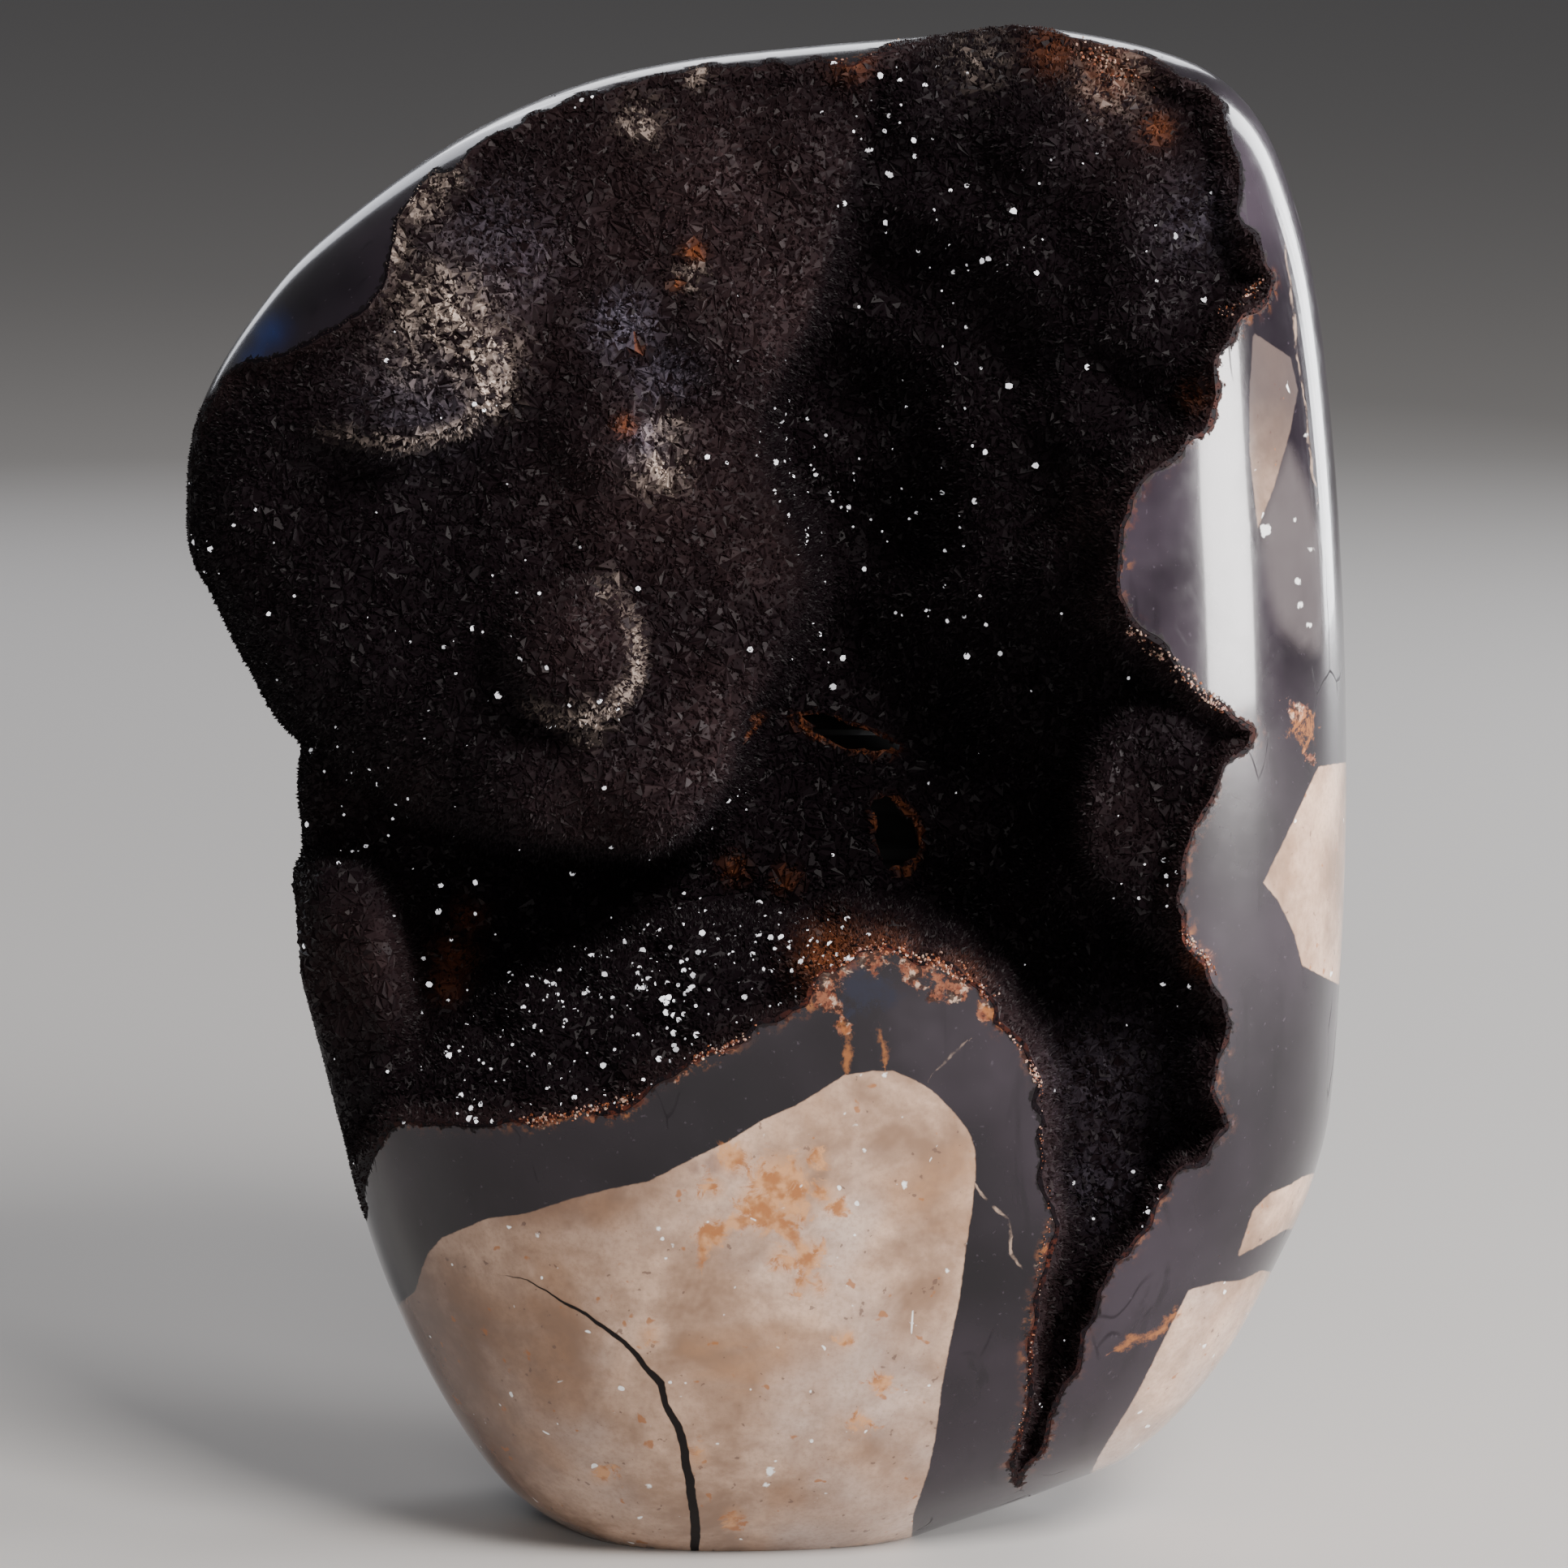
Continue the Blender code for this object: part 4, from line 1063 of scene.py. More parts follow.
def swellingRims(flat):
    # painted highlight along the lower right rim of each swelling, painted shadow on the wall below it
    pale = np.zeros(len(flat))
    dark = np.zeros(len(flat))
    for swelling in hollow["swellings"]:
        within = inside(flat, swelling["outline"])
        off = flat - np.mean(swelling["outline"], axis=0)
        facing = off @ np.array(druse["litFrom"]) / np.maximum(np.hypot(*off.T), 1.0)
        rim = np.exp(-((within - 1.2) / 1.1) ** 2) * np.clip(0.2 + facing, 0.0, 1.0)
        pale = np.maximum(pale, swelling["bright"] * rim)
        below = np.clip(-off[:, 1] / 6.0, 0.0, 1.0)
        dark = np.maximum(dark, below * np.exp(-np.clip(-within, 0.0, None) / 5.0) * (within < 0.0))
    return pale, dark


def holeRims(flat, depth):
    rim = np.zeros(len(flat))
    for hole in holes:
        rollBy = math.radians(hole["roll"])
        u = flat[:, 0] - hole["at"][0] - hole["lean"] * depth
        v = flat[:, 1] - hole["at"][1]
        along = (u * math.cos(rollBy) + v * math.sin(rollBy)) / hole["half"][0]
        across = (v * math.cos(rollBy) - u * math.sin(rollBy)) / hole["half"][1]
        beyond = (np.hypot(along, across) - 1.0) * min(hole["half"])
        rim = np.maximum(rim, 0.5 * np.exp(-(beyond / 0.35) ** 2))
    return rim * (inside(flat, hollow["lobe"]) < 0.0)


def colourByPlace(item, flat, depth):
    # painted light: a brown sheen on the lit lobe, taken away by painted shade under the knobs and below
    # the swellings
    lobe = blend(inside(flat, hollow["lobe"]) - 1.0, 2.6)
    pale, dark = swellingRims(flat)
    shade = (1.0 - patches(flat, druse["shade"])) * (1.0 - dark)
    brown = np.maximum(lobe * shade * patches(flat, druse["brown"]),
                       patches(flat, druse["brownBeyond"]))
    fringe = np.exp(-(np.clip(inside(flat, hollow["mouth"]), 0.0, None) / druse["fringe"][0]) ** 2)
    brown = np.maximum(brown, druse["fringe"][1] * fringe)
    setAttribute(item, "brown", brown, "FACE")
    # pale crystals and the painted highlights on the lit knobs lie in slanting streaks
    across = flat @ np.array(druse["streakAcross"])
    along = flat @ np.array([-druse["streakAcross"][1], druse["streakAcross"][0]])
    streak = 0.5 + 0.5 * np.sin(2.6 * across + 2.0 * np.sin(0.5 * along) + 1.5 * np.sin(0.9 * across))
    pale = np.maximum(pale, patches(flat, druse["pale"]) * (0.3 + 0.9 * streak))
    setAttribute(item, "pale", np.clip(pale, 0.0, 1.0), "FACE")
    setAttribute(item, "frost", patches(flat, druse["frost"]), "FACE")
    rust = np.maximum(patches(flat, druse["rust"]), holeRims(flat, depth))
    setAttribute(item, "rust", rust, "FACE")


def markCrystals(item, places, faces, number):
    dice = np.random.default_rng(crystals["toneSeed"])
    middle = places[faces].mean(1)
    flat, depth = sighted(middle)
    tone = dice.random(number.max() + 2)[number]
    setAttribute(item, "tone", 0.6 * tone + 0.4 * dice.random(len(faces)), "FACE")
    colourByPlace(item, flat, depth)
    setAttribute(item, "glint", np.zeros(len(faces)), "FACE")
    cutFlat = (number < 0) & (nearness(polishTree, middle) < 0.03)
    setAttribute(item, "cut", cutFlat.astype(float), "FACE")
    setAttribute(item, "edgeRust", patches(flat, markings["edgeRust"]), "FACE")
    item.data.validate()


markCrystals(crystalLining, crustPlaces, crustFaces, crystalNumber)
pointed = pointedCrystals(skin)
report("crystals marked " + ", ".join("%s %d" % (item.name, len(item.data.polygons))
                                      for item in pointed))

# Small grains of rusty and pale calcite along the edge of the hollow:
# (points along the edge, grains, how far they stray, rusty share, grain size)
crumbs = {
    "runs": [
        ([(3.0, 79.5), (8.0, 77.0), (14.0, 78.0), (20.0, 77.5), (25.0, 75.5), (29.0, 72.0)],
         420, 2.0, 0.75, 0.62),
        ([(6.0, 74.5), (9.0, 71.0), (10.5, 68.0), (11.0, 65.0)], 150, 1.3, 0.8, 0.5),
        ([(21.0, 75.0), (25.0, 73.5), (28.5, 70.5), (31.5, 67.5), (34.6, 63.5), (36.2, 60.5)],
         190, 0.8, 0.3, 0.5),
        ([(-32.0, 55.8), (-26.0, 56.6), (-20.5, 58.0), (-17.0, 59.2)], 190, 0.8, 0.65, 0.5),
        ([(-10.0, 64.0), (-6.0, 65.6), (-1.0, 67.9)], 60, 0.8, 0.5, 0.5),
        ([(36.4, 60.0), (36.4, 53.0), (37.6, 43.0), (36.4, 37.2), (35.9, 32.3)], 60, 0.4, 0.8, 0.34),
        ([(35.4, 28.0), (34.4, 19.0), (33.0, 12.0)], 50, 0.3, 0.9, 0.3),
        ([(48.0, 121.0), (50.5, 119.0), (54.0, 116.5), (58.0, 112.5), (60.5, 110.5)],
         170, 0.9, 0.2, 0.52),
        ([(68.5, 113.5), (70.5, 110.0), (71.5, 106.5), (70.0, 104.5)], 150, 1.2, 0.75, 0.55),
        ([(55.0, 81.5), (57.5, 78.5), (60.0, 75.5)], 90, 0.8, 0.7, 0.5),
        ([(41.0, 198.5), (46.5, 195.5), (50.5, 190.0), (53.0, 186.0)], 170, 2.2, 0.6, 0.55),
        ([(9.0, 196.5), (14.0, 198.5), (20.0, 201.0)], 70, 0.8, 0.5, 0.45),
        ([(60.5, 163.0), (63.5, 165.0), (66.0, 168.0)], 60, 0.7, 0.5, 0.45),
    ],
    "seed": 23,
    # how far outside and inside the edge they lie
    "reach": (-0.6, 3.5),
    "sizes": (0.45, 1.15),
}


def edgeCrumbs():
    dice = np.random.default_rng(crumbs["seed"])
    ball = bmesh.new()
    bmesh.ops.create_icosphere(ball, subdivisions=1, radius=1.0)
    unit = np.array([vert.co[:] for vert in ball.verts])
    sides = np.array([[vert.index for vert in face.verts] for face in ball.faces])
    ball.free()
    stoneTree = treeOf(stoneBody)
    places, faces, rusty, tint = [], [], [], []
    for line, count, stray, rustShare, size in crumbs["runs"]:
        knots = np.array(line)
        along = np.sort(dice.uniform(0.0, len(knots) - 1.001, count))
        first = along.astype(int)
        share = (along - first)[:, None]
        flat = knots[first] * (1.0 - share) + knots[first + 1] * share
        flat = flat + dice.normal(0.0, stray * 0.5, flat.shape)
        within = inside(flat, hollow["mouth"])
        flat = flat[(within > crumbs["reach"][0]) & (within < crumbs["reach"][1])]
        for place in placed(flat, np.zeros(len(flat))):
            ray = Vector(place - eye).normalized()
            hits = [tree.ray_cast(Vector(eye), ray) for tree in (crystalTree, stoneTree)]
            found = [hit[3] for hit in hits if hit[0] is not None]
            if not found:
                continue
            radius = size * dice.uniform(*crumbs["sizes"]) * 0.5
            heart = np.array(Vector(eye) + ray * (min(found) - 0.1))
            if polishTree.find_nearest(Vector(heart))[3] < radius * 0.5:
                heart = heart + np.array(ray) * (radius * 0.5)
            shape = unit * dice.uniform(0.6, 1.0, 3) + dice.normal(0.0, 0.12, unit.shape)
            faces.append(sides + len(places) * len(unit))
            places.append(heart + radius * shape)
            rusty.append(1.0 if dice.random() < rustShare else 0.0)
            tint.append(dice.random())
    item = meshObject("edge_crumbs", np.vstack(places), np.vstack(faces).tolist())
    setAttribute(item, "rusty", np.repeat(rusty, len(sides)), "FACE")
    setAttribute(item, "tone", np.repeat(tint, len(sides)), "FACE")
    return item


crumbItem = edgeCrumbs()
report("crumbs laid " + counted(crumbItem))


class Wire:
    # an output in a shader tree that can be added and multiplied like a number
    def __init__(self, wiring, socket):
        self.wiring = wiring
        self.socket = socket

    def __add__(self, other):
        return self.wiring.math("ADD", self, other)

    def __sub__(self, other):
        return self.wiring.math("SUBTRACT", self, other)

    def __rsub__(self, other):
        return self.wiring.math("SUBTRACT", other, self)

    def __mul__(self, other):
        return self.wiring.math("MULTIPLY", self, other)

    def __abs__(self):
        return self.wiring.math("ABSOLUTE", self)


class Wiring:
    # short calls for adding and joining shader nodes in one tree
    def __init__(self, tree):
        self.tree = tree

    def plug(self, value, socket):
        if isinstance(value, Wire):
            self.tree.links.new(value.socket, socket)
        else:
            socket.default_value = value

    def node(self, kind, output, inputs=(), **settings):
        made = self.tree.nodes.new(kind)
        for key, value in settings.items():
            setattr(made, key, value)
        for socket, value in dict(inputs).items():
            self.plug(value, made.inputs[socket])
        return Wire(self, made.outputs[output])

    def attribute(self, name):
        return self.node("ShaderNodeAttribute", "Fac", attribute_name=name)

    def math(self, operation, a, b=0.0, clamp=False):
        return self.node("ShaderNodeMath", 0, {0: a, 1: b}, operation=operation, use_clamp=clamp)

    def most(self, first, *others):
        for other in others:
            first = self.math("MAXIMUM", first, other)
        return first

    def ramp(self, value, low, high):
        # 0 at low, 1 at high, smooth between
        return self.node("ShaderNodeMapRange", "Result",
                         {"Value": value, "From Min": low, "From Max": high},
                         interpolation_type="SMOOTHSTEP")

    def mix(self, share, a, b):
        return self.node("ShaderNodeMix", 2, {0: share, 6: a, 7: b}, data_type="RGBA")

    def layered(self, colour, look, layers):
        # each layer lays one of the look's colours over the last, by a share
        for share, name in layers:
            colour = self.mix(share, colour, look[name])
        return colour

    def noise(self, scale, detail=3.0, roughness=0.5, distortion=0.0, vector=None):
        if vector is None:
            vector = self.node("ShaderNodeTexCoord", "Object")
        return self.node("ShaderNodeTexNoise", "Fac",
                         {"Vector": vector, "Scale": scale, "Detail": detail,
                          "Roughness": roughness, "Distortion": distortion})

    def warped(self, upright, scale, amount):
        # object coordinates drawn out upwards and bent by a noise
        place = self.node("ShaderNodeMapping", "Vector",
                          {"Vector": self.node("ShaderNodeTexCoord", "Object"),
                           "Scale": (1.0, 1.0, upright)})
        bend = self.node("ShaderNodeTexNoise", "Color",
                         {"Vector": place, "Scale": scale, "Detail": 1.0})
        return self.node("ShaderNodeVectorMath", "Vector",
                         {0: bend, 1: (amount, amount, amount), 2: place},
                         operation="MULTIPLY_ADD")

    def mottled(self, values):
        # the plain noise of the shared group, and its patches
        patches = self.node("ShaderNodeGroup", "Patches", dict(zip(mottleInputs, values)),
                            node_tree=mottleTree)
        return Wire(self, patches.socket.node.outputs["Noise"]), patches

    def mottle(self, values):
        return self.mottled(values)[1]


# Broken patches from one noise, for the stone, the crystals and the grains
mottleInputs = ("Scale", "Detail", "Roughness", "From", "To", "Distortion")


def mottleGroup():
    group = bpy.data.node_groups.new("mottle", "ShaderNodeTree")
    for name in mottleInputs:
        group.interface.new_socket(name, in_out="INPUT", socket_type="NodeSocketFloat")
    for name in ("Noise", "Patches"):
        group.interface.new_socket(name, in_out="OUTPUT", socket_type="NodeSocketFloat")
    w = Wiring(group)
    given = group.nodes.new("NodeGroupInput").outputs
    ends = group.nodes.new("NodeGroupOutput").inputs
    scale, detail, roughness, low, high, distortion = [Wire(w, given[name])
                                                       for name in mottleInputs]
    plain = w.noise(scale, detail, roughness, distortion)
    w.plug(plain, ends["Noise"])
    w.plug(w.ramp(plain, low, high), ends["Patches"])
    return group


mottleTree = mottleGroup()


def newMaterial(name):
    made = bpy.data.materials.new(name)
    made.use_nodes = True
    return made, Wiring(made.node_tree), made.node_tree.nodes["Principled BSDF"].inputs


stoneLook = {
    "mudLight": (0.60, 0.41, 0.30, 1.0),
    "mudDark": (0.225, 0.135, 0.088, 1.0),
    "mudTan": (0.35, 0.19, 0.10, 1.0),
    "mudBlue": (0.47, 0.38, 0.345, 1.0),
    "mudBrown": (0.085, 0.050, 0.043, 1.0),
    "mudGrey": (0.060, 0.050, 0.052, 1.0),
    "calciteDark": (0.0065, 0.0048, 0.0072, 1.0),
    "calciteLight": (0.025, 0.0185, 0.026, 1.0),
    "calcitePale": (0.086, 0.070, 0.090, 1.0),
    "milky": (0.088, 0.077, 0.080, 1.0),
    "blue": (0.012, 0.035, 0.16, 1.0),
    "teeth": (0.0045, 0.0030, 0.0040, 1.0),
    "smudge": (0.16, 0.09, 0.075, 1.0),
    "rust": (0.31, 0.112, 0.032, 1.0),
    "rustSoft": (0.53, 0.27, 0.125, 1.0),
    "rustDark": (0.11, 0.032, 0.018, 1.0),
    "crust": (0.21, 0.082, 0.045, 1.0),
    "cream": (0.46, 0.33, 0.25, 1.0),
    "white": (0.85, 0.85, 0.85, 1.0),
    "chalk": (0.70, 0.70, 0.70, 1.0),
    "crack": (0.006, 0.004, 0.004, 1.0),
    "window": (0.010, 0.011, 0.022, 1.0),
    "roughness": 0.16,
    "coat": 0.45,
    "coatRoughness": 0.06,
    "refraction": 1.5,
    "specular": 0.2,
    # patches as (scale, detail, roughness, from, to, distortion)
    "clouds": (70.0, 4.0, 0.62, 0.3, 0.66, 0.3),
    "tanPatches": (48.0, 4.0, 0.6, 0.48, 0.68, 0.4),
    "bluePatches": (33.0, 3.0, 0.55, 0.5, 0.7, 0.2),
    "blotches": (190.0, 3.0, 0.65, 0.42, 0.7, 0.0),
    "grain": (1500.0, 3.0, 0.7, 0.4, 0.7, 0.0),
    "flecks": (430.0, 2.0, 0.5, 0.69, 0.74, 0.0),
    "specks": (760.0, 2.0, 0.5, 0.70, 0.73, 0.0),
    "dashes": (480.0, 3.0, 0.5, 0.38, 0.62, 0.0),
    "chips": (560.0, 1.0, 0.5, 0.745, 0.785, 0.0),
    "depthClouds": (38.0, 3.0, 0.5, 0.3, 0.75, 0.0),
    "crackedPatches": (75.0, 2.0, 0.5, 0.58, 0.7, 0.0),
    "dust": (1300.0, 2.0, 0.5, 0.68, 0.76, 0.0),
    "creamPatches": (620.0, 4.0, 0.65, 0.52, 0.62, 0.0),
    "pits": (1000.0, 3.0, 0.6, 0.5, 0.58, 0.0),
    "dullPatches": (300.0, 3.0, 0.5, 0.4, 0.8, 0.0),
    # the polish's slight unevenness: scale, detail, roughness, then height in metres, strength
    "uneven": (700.0, 3.0, 0.6),
    "unevenHeight": (0.00004, 0.25),
}


def stoneMaterial():
    look = stoneLook
    made, w, shader = newMaterial("polished_stone")
    ragged = (w.noise(900.0, 4.0) - 0.5) * 0.7
    wobble = (w.noise(210.0, 3.0) - 0.5) * 2.4
    threads = w.noise(330.0, 5.0, 0.72, 0.6) - 0.5
    broken = w.noise(650.0, 4.0, 0.7)
    streaks = w.noise(60.0, 3.0, 0.6, 0.2)
    grain, grainy = w.mottled(look["grain"])
    jagged, pits = w.mottled(look["pits"])
    dashes = w.mottle(look["dashes"])
    shadow = w.attribute("shadow")
    edge = w.attribute("edge")
    edgeRust = w.attribute("edgeRust")
    isMud = w.ramp(w.attribute("mud") + ragged * 0.4, -0.12, 0.12)
    # mudstone: soft clouds, tan smears, fine grain, painted shade browner towards the left foot, and a halo
    # round the rust
    mudColour = w.mix(w.mottle(look["clouds"]), look["mudDark"], look["mudLight"])
    mudColour = w.layered(mudColour, look, (
        (w.mottle(look["tanPatches"]) * 0.6, "mudTan"),
        (w.mottle(look["bluePatches"]) * 0.6, "mudBlue"),
        (w.mottle(look["blotches"]) * 0.42, "mudDark"),
        (grainy * 0.3, "mudDark"),
        # painted shade, browner towards the left foot
        (shadow * 0.9, "mudBrown"),
        (w.attribute("veil") * 0.92, "mudGrey"),
        (w.mottle(look["flecks"]) * 0.75, "rust"),
        (w.mottle(look["specks"]) * 0.6, "mudBrown"),
        (w.ramp(w.attribute("smudge") + wobble, -0.4, 0.8) * 0.6, "smudge"),
        (w.ramp(w.attribute("rustSpot"), -2.0, 1.5) * 0.7, "rustSoft"),
    ))
    # rust: broken, speckled patches and veins
    rusty = w.ramp(w.attribute("rustSpot") + threads * 15.0, -0.9, 0.9)
    vein = w.attribute("rustHalf") - abs(w.attribute("rustAcross") + wobble)
    vein = w.ramp(vein + (broken - 0.5) * 3.0, -0.45, 0.45)
    stain = w.most(rusty, vein)
    mudColour = w.mix(stain * 0.9, mudColour, w.mix(dashes, look["rust"], look["rustSoft"]))
    whiteSpots = w.ramp(w.attribute("whiteSpot") + ragged * 2.2, 0.0, 0.3)
    stroke = w.attribute("whiteHalf") - abs(w.attribute("whiteAcross"))
    white = w.most(whiteSpots, w.mottle(look["chips"]), w.ramp(stroke, -0.1, 0.1))
    # the dark shrinkage crack
    crack = w.attribute("crackHalf") - abs(w.attribute("crackAcross") + wobble * 0.45)
    cracked = w.ramp(crack, -0.08, 0.08)
    mudColour = w.layered(mudColour, look, ((white, "white"), (cracked, "crack")))
    # calcite: cloudy dark bands with upright strokes and fine cracks, a painted reflection lighter to the
    # right and painted shade towards the left foot
    strokes = w.ramp(w.noise(240.0, 3.0, 0.55, 0.4, w.warped(0.16, 30.0, 0.002)), 0.56, 0.7)
    cells = w.node("ShaderNodeTexVoronoi", "Distance",
                   {"Vector": w.warped(0.5, 140.0, 0.006), "Scale": 95.0},
                   feature="DISTANCE_TO_EDGE")
    hairline = (1.0 - w.ramp(cells, 0.004, 0.022)) * w.mottle(look["crackedPatches"])
    calcite = w.mix(w.mottle(look["depthClouds"]), look["calciteDark"], look["calciteLight"])
    calcite = w.layered(calcite, look, (
        # pale calcite and a painted reflection, stronger to the right
        (w.attribute("lighter") * w.ramp(streaks, 0.2, 0.8) * 0.55, "calcitePale"),
        # painted shade: darker calcite towards the left foot
        (shadow * 0.6, "teeth"),
        (strokes * 0.55, "calciteDark"),
        (w.attribute("milky") * w.ramp(streaks, -0.4, 0.8), "milky"),
        (w.attribute("blue") * 0.85, "blue"),
        (hairline * 0.5, "teeth"),
        (w.mottle(look["dust"]) * 0.35, "calcitePale"),
        (w.ramp(w.attribute("window") + (broken - 0.5) * 1.6, 0.3, 0.9), "window"),
    ))
    # rust, crumbly crust and dark teeth where the hollow breaks through the polish
    rustRim = (1.0 - w.ramp(edge + ragged * 1.4, 0.3, 2.0)) * edgeRust * w.ramp(broken, 0.48, 0.62)
    calcite = w.mix(rustRim, calcite, w.mix(dashes, look["rustDark"], look["rust"]))
    crumbly = w.ramp(w.attribute("crust") + threads * 1.9, 0.42, 0.62)
    crustTone = w.mix(w.ramp(grain, 0.38, 0.6), look["rustDark"], look["crust"])
    crustTone = w.layered(crustTone, look, (
        (w.mottle(look["creamPatches"]) * 0.85, "cream"),
        (pits * 0.85, "teeth"),
    ))
    calcite = w.mix(crumbly, calcite, crustTone)
    teeth = 1.0 - w.ramp((jagged - 0.5) * 2.6 + edge, 0.2, 0.42)
    toothRust = edgeRust * w.ramp(broken, 0.4, 0.6)
    calcite = w.mix(teeth, calcite, w.mix(toothRust, look["teeth"], look["rustDark"]))
    cream = w.attribute("creamHalf") - abs(w.attribute("creamAcross") + wobble * 0.6)
    cream = w.ramp(cream + ragged * 0.6, -0.08, 0.12)
    calcite = w.layered(calcite, look, (
        (stain * 0.7, "rust"),
        (cream * dashes * 0.6, "cream"),
        (whiteSpots, "chalk"),
    ))
    inner = w.ramp(w.attribute("below"), 0.1, 0.3)
    colour = w.mix(inner, w.mix(isMud, calcite, mudColour), look["crack"])
    w.plug(colour, shader["Base Color"])
    # dull inside and where the polish is broken
    worn = w.most(inner, (1.0 - isMud) * w.most(teeth, crumbly, hairline), isMud * cracked)
    dull = w.mottle(look["dullPatches"]) * 0.06 + look["roughness"]
    w.plug(w.math("ADD", dull, worn * 0.5, clamp=True), shader["Roughness"])
    w.plug((1.0 - worn) * look["coat"], shader["Coat Weight"])
    shader["IOR"].default_value = look["refraction"]
    shader["Specular IOR Level"].default_value = look["specular"]
    shader["Coat Roughness"].default_value = look["coatRoughness"]
    distance, strength = look["unevenHeight"]
    w.plug(w.node("ShaderNodeBump", "Normal",
                  {"Height": w.noise(*look["uneven"]), "Distance": distance, "Strength": strength}),
           shader["Normal"])
    return made


crystalLook = {
    "dark": (0.0060, 0.0038, 0.0050, 1.0),
    "brown": (0.0235, 0.0135, 0.0140, 1.0),
    "cut": (0.0055, 0.0038, 0.0052, 1.0),
    "cutRust": (0.085, 0.022, 0.013, 1.0),
    "pale": (0.60, 0.48, 0.41, 1.0),
    "frost": (0.20, 0.18, 0.24, 1.0),
    "rust": (0.16, 0.050, 0.020, 1.0),
    "glint": (0.92, 0.93, 1.0, 1.0),
    "glow": (0.85, 0.85, 0.90, 1.0),
    "noGlow": (0.0, 0.0, 0.0, 1.0),
    "roughness": 0.32,
    "specular": 0.06,
    "broken": (900.0, 2.0, 0.6, 0.42, 0.6, 0.0),
}


def crystalMaterial():
    look = crystalLook
    made, w, shader = newMaterial("dark_crystal")
    made.cycles.emission_sampling = "NONE"  # the bright faces light nothing else
    tone = w.attribute("tone")
    glint = w.attribute("glint")
    cutFace = w.attribute("cut")
    broken, reddish = w.mottled(look["broken"])
    patchy = tone + broken
    # painted sheen: brown where the druse is lit
    colour = w.mix(w.attribute("brown") * (tone * 0.9 + 0.35), look["dark"], look["brown"])
    colour = w.layered(colour, look, (
        # frosty grey crystals, partly a painted sheen
        (w.attribute("frost") * w.ramp(patchy, 0.7, 1.4), "frost"),
        # pale crystals and a painted highlight on the lit knob rims
        (w.attribute("pale") * w.ramp(patchy, 0.8, 1.35), "pale"),
        (w.attribute("rust") * w.ramp(patchy, 0.6, 1.1), "rust"),
        # painted glints: near-white faces
        (glint, "glint"),
    ))
    # where the polish cuts through the crystals
    cutColour = w.mix(reddish * w.attribute("edgeRust"), look["cut"], look["cutRust"])
    w.plug(w.mix(cutFace, colour, cutColour), shader["Base Color"])
    # the painted glints glow
    w.plug(w.mix(glint, look["noGlow"], look["glow"]), shader["Emission Color"])
    shader["Emission Strength"].default_value = 1.0
    rough = broken * 0.2 + look["roughness"]
    w.plug(w.math("ADD", rough, cutFace * 0.1, clamp=True), shader["Roughness"])
    shader["Specular IOR Level"].default_value = look["specular"]
    return made


crumbLook = {
    "orange": (0.30, 0.095, 0.036, 1.0),
    "brown": (0.075, 0.020, 0.012, 1.0),
    "cream": (0.55, 0.40, 0.30, 1.0),
    "pink": (0.33, 0.17, 0.14, 1.0),
    "roughness": 0.38,
    "patchy": (1400.0, 2.0, 0.6, 0.35, 0.7, 0.0),
}


def crumbMaterial():
    look = crumbLook
    made, w, shader = newMaterial("rusty_grains")
    tone = w.attribute("tone")
    patchy = w.mottle(look["patchy"])
    rusty = w.mix(tone, look["brown"], look["orange"])
    creamy = w.mix(tone, look["pink"], look["cream"])
    colour = w.mix(w.attribute("rusty"), creamy, rusty)
    w.plug(w.mix(patchy * 0.45, colour, look["brown"]), shader["Base Color"])
    w.plug(patchy * 0.2 + look["roughness"], shader["Roughness"])
    return made


def dressed(item, material):
    item.data.materials.clear()
    item.data.materials.append(material)


dressed(stoneBody, stoneMaterial())
crystalFinish = crystalMaterial()
for item in [crystalLining] + pointed:
    dressed(item, crystalFinish)
dressed(crumbItem, crumbMaterial())
for item, node, finish in ((stoneBody, "stone", "polished_stone"),
                           (crystalLining, "crystal_crust", "dark_crystal")):
    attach(item, "root")
    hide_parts(node)
for item in pointed:
    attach(item, "root")
    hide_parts("crystal_crust")
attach(crumbItem, "root")

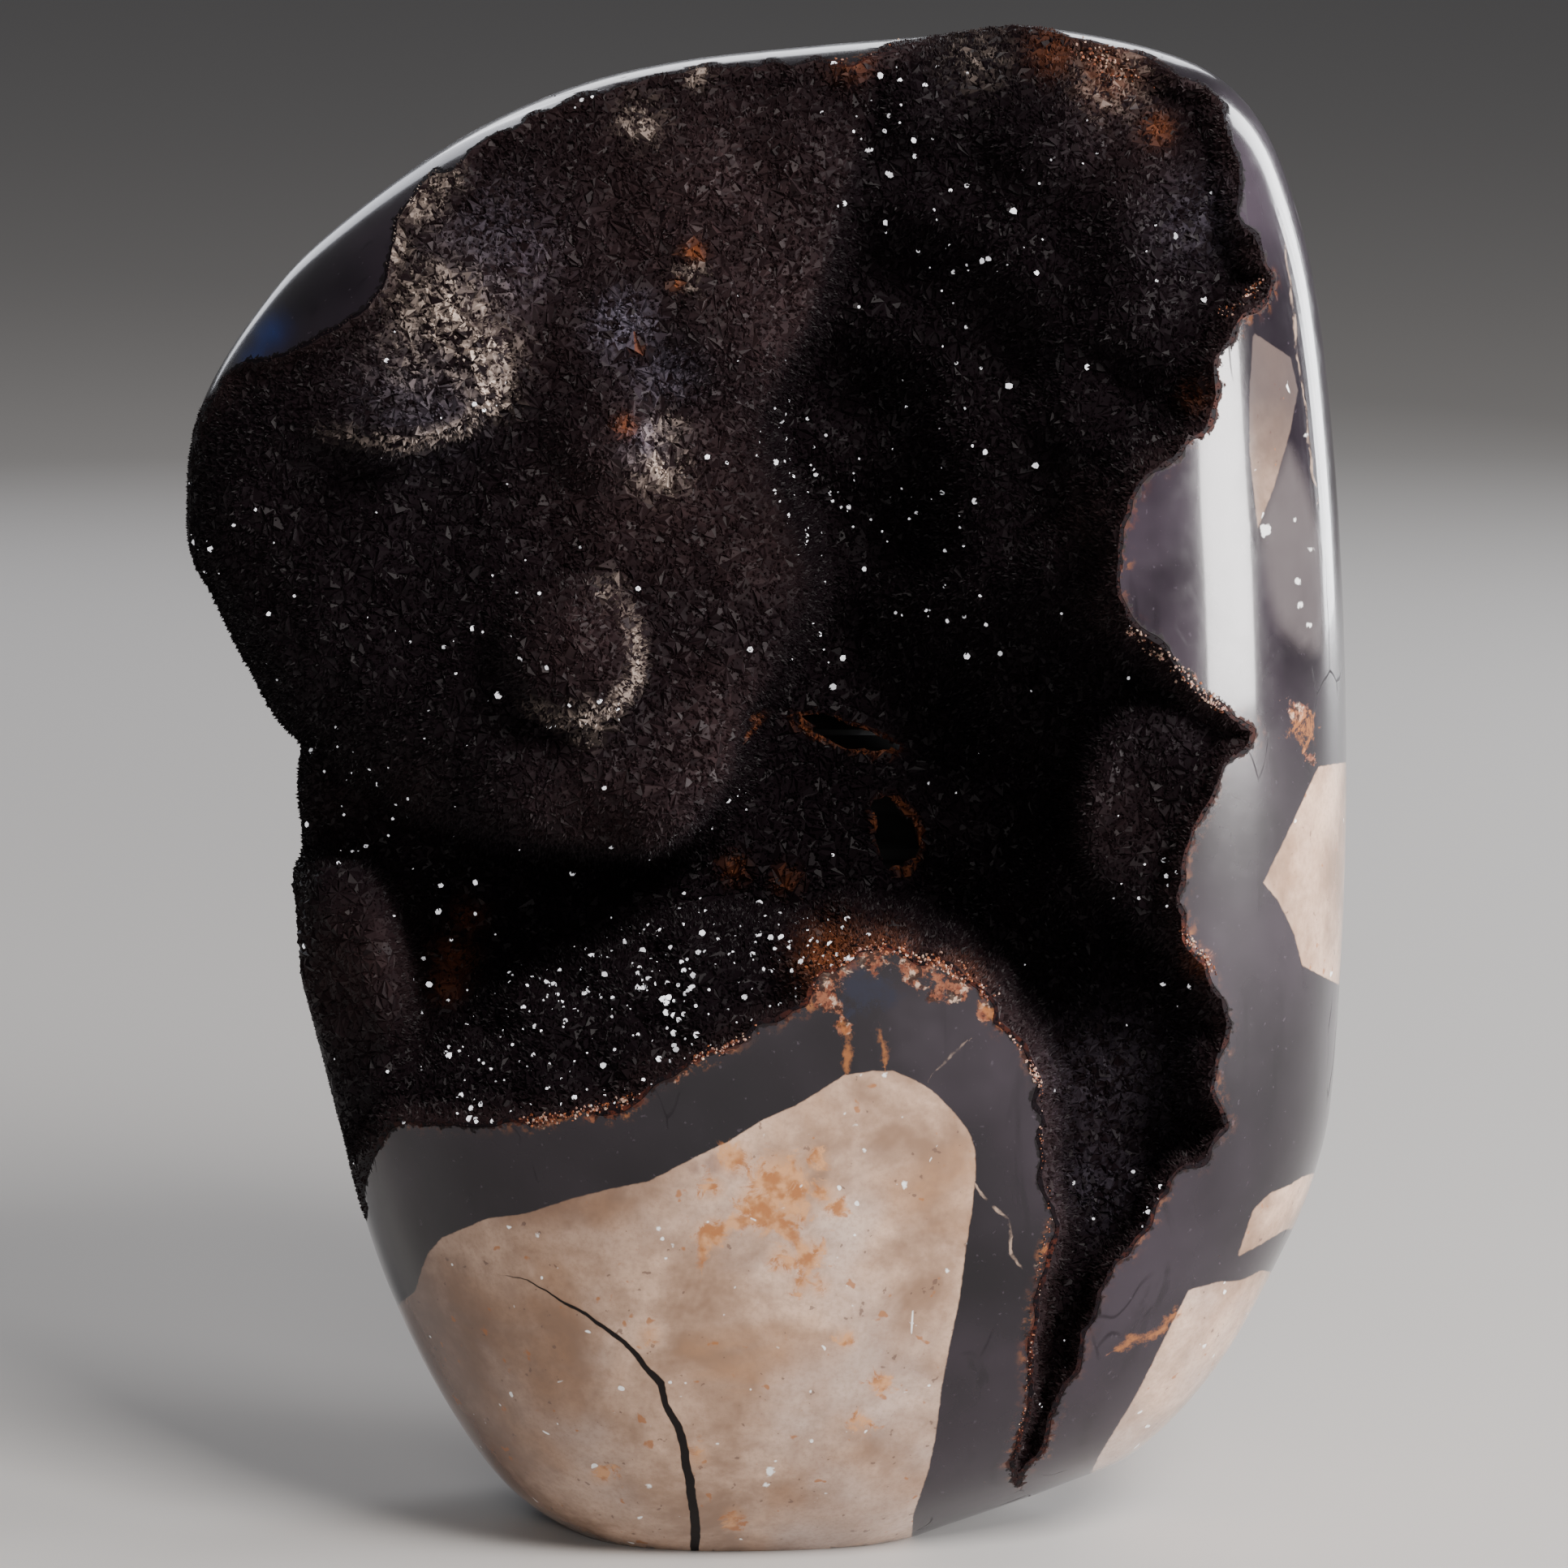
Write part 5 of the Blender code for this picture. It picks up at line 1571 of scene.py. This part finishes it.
# The stage: a plain pale floor, soft lights, and the camera at the photo's angle
studio = {
    "floorSize": 16.0,
    "floor": (0.50, 0.49, 0.48, 1.0),
    "floorRoughness": 0.8,
    "sensor": 36.0,
    "lens": 173.0,
    "air": (0.42, 0.42, 0.44, 1.0),
    "airStrength": 0.24,
    # softboxes: width and height, place by azimuth (to the right of the camera), elevation and
    # distance from the middle of the stone, power in watts, colour
    "lights": {
        "key": (0.40, 0.40, 34.0, 40.0, 1.1, 19.0, (1.0, 0.95, 0.91)),
        "strip": (0.27, 0.34, 76.0, 5.0, 0.9, 16.0, (1.0, 0.97, 0.96)),
        "rimRight": (0.25, 0.9, 138.0, 8.0, 1.0, 9.0, (0.96, 0.97, 1.0)),
        "rimLeft": (0.2, 0.5, -161.0, 18.0, 1.0, 0.6, (0.90, 0.92, 1.0)),
        "rimTop": (0.5, 0.22, 180.0, 19.0, 1.0, 1.0, (0.94, 0.95, 1.0)),
        "front": (0.3, 0.3, 4.0, 14.0, 1.3, 4.0, (1.0, 0.97, 0.94)),
    },
}


def addStudio():
    half = studio["floorSize"] / 2.0
    mesh = bpy.data.meshes.new("floor")
    mesh.from_pydata([(-half, -half, 0), (half, -half, 0), (half, half, 0), (-half, half, 0)], [],
                     [(0, 1, 2, 3)])
    floor = bpy.data.objects.new("floor", mesh)
    bpy.context.scene.collection.objects.link(floor)
    made, w, shader = newMaterial("floor")
    w.plug(studio["floor"], shader["Base Color"])
    w.plug(studio["floorRoughness"], shader["Roughness"])
    dressed(floor, made)
    world = bpy.data.worlds.new("studio")
    world.use_nodes = True
    air = world.node_tree.nodes["Background"]
    air.inputs["Color"].default_value = studio["air"]
    air.inputs["Strength"].default_value = studio["airStrength"]
    bpy.context.scene.world = world
    target = Vector(sight["target"]) * mm
    for name, (wide, high, azimuth, elevation, away, power, colour) in studio["lights"].items():
        lamp = bpy.data.lights.new(name, "AREA")
        lamp.shape = "RECTANGLE"
        lamp.size = wide
        lamp.size_y = high
        lamp.energy = power
        lamp.color = colour
        item = bpy.data.objects.new(name, lamp)
        turn, rise = math.radians(azimuth), math.radians(elevation)
        way = Vector((math.sin(turn) * math.cos(rise), -math.cos(turn) * math.cos(rise),
                      math.sin(rise)))
        item.location = target + way * away
        item.rotation_euler = (-way).to_track_quat("-Z", "Y").to_euler()
        bpy.context.scene.collection.objects.link(item)
    lens = bpy.data.cameras.new("camera")
    lens.sensor_width = studio["sensor"]
    lens.lens = studio["lens"]
    camera = bpy.data.objects.new("camera", lens)
    camera.location = eye * mm
    camera.rotation_euler = (math.radians(90.0) - sight["tilt"], 0.0, 0.0)
    bpy.context.scene.collection.objects.link(camera)
    bpy.context.scene.camera = camera


addStudio()
report("studio ready")
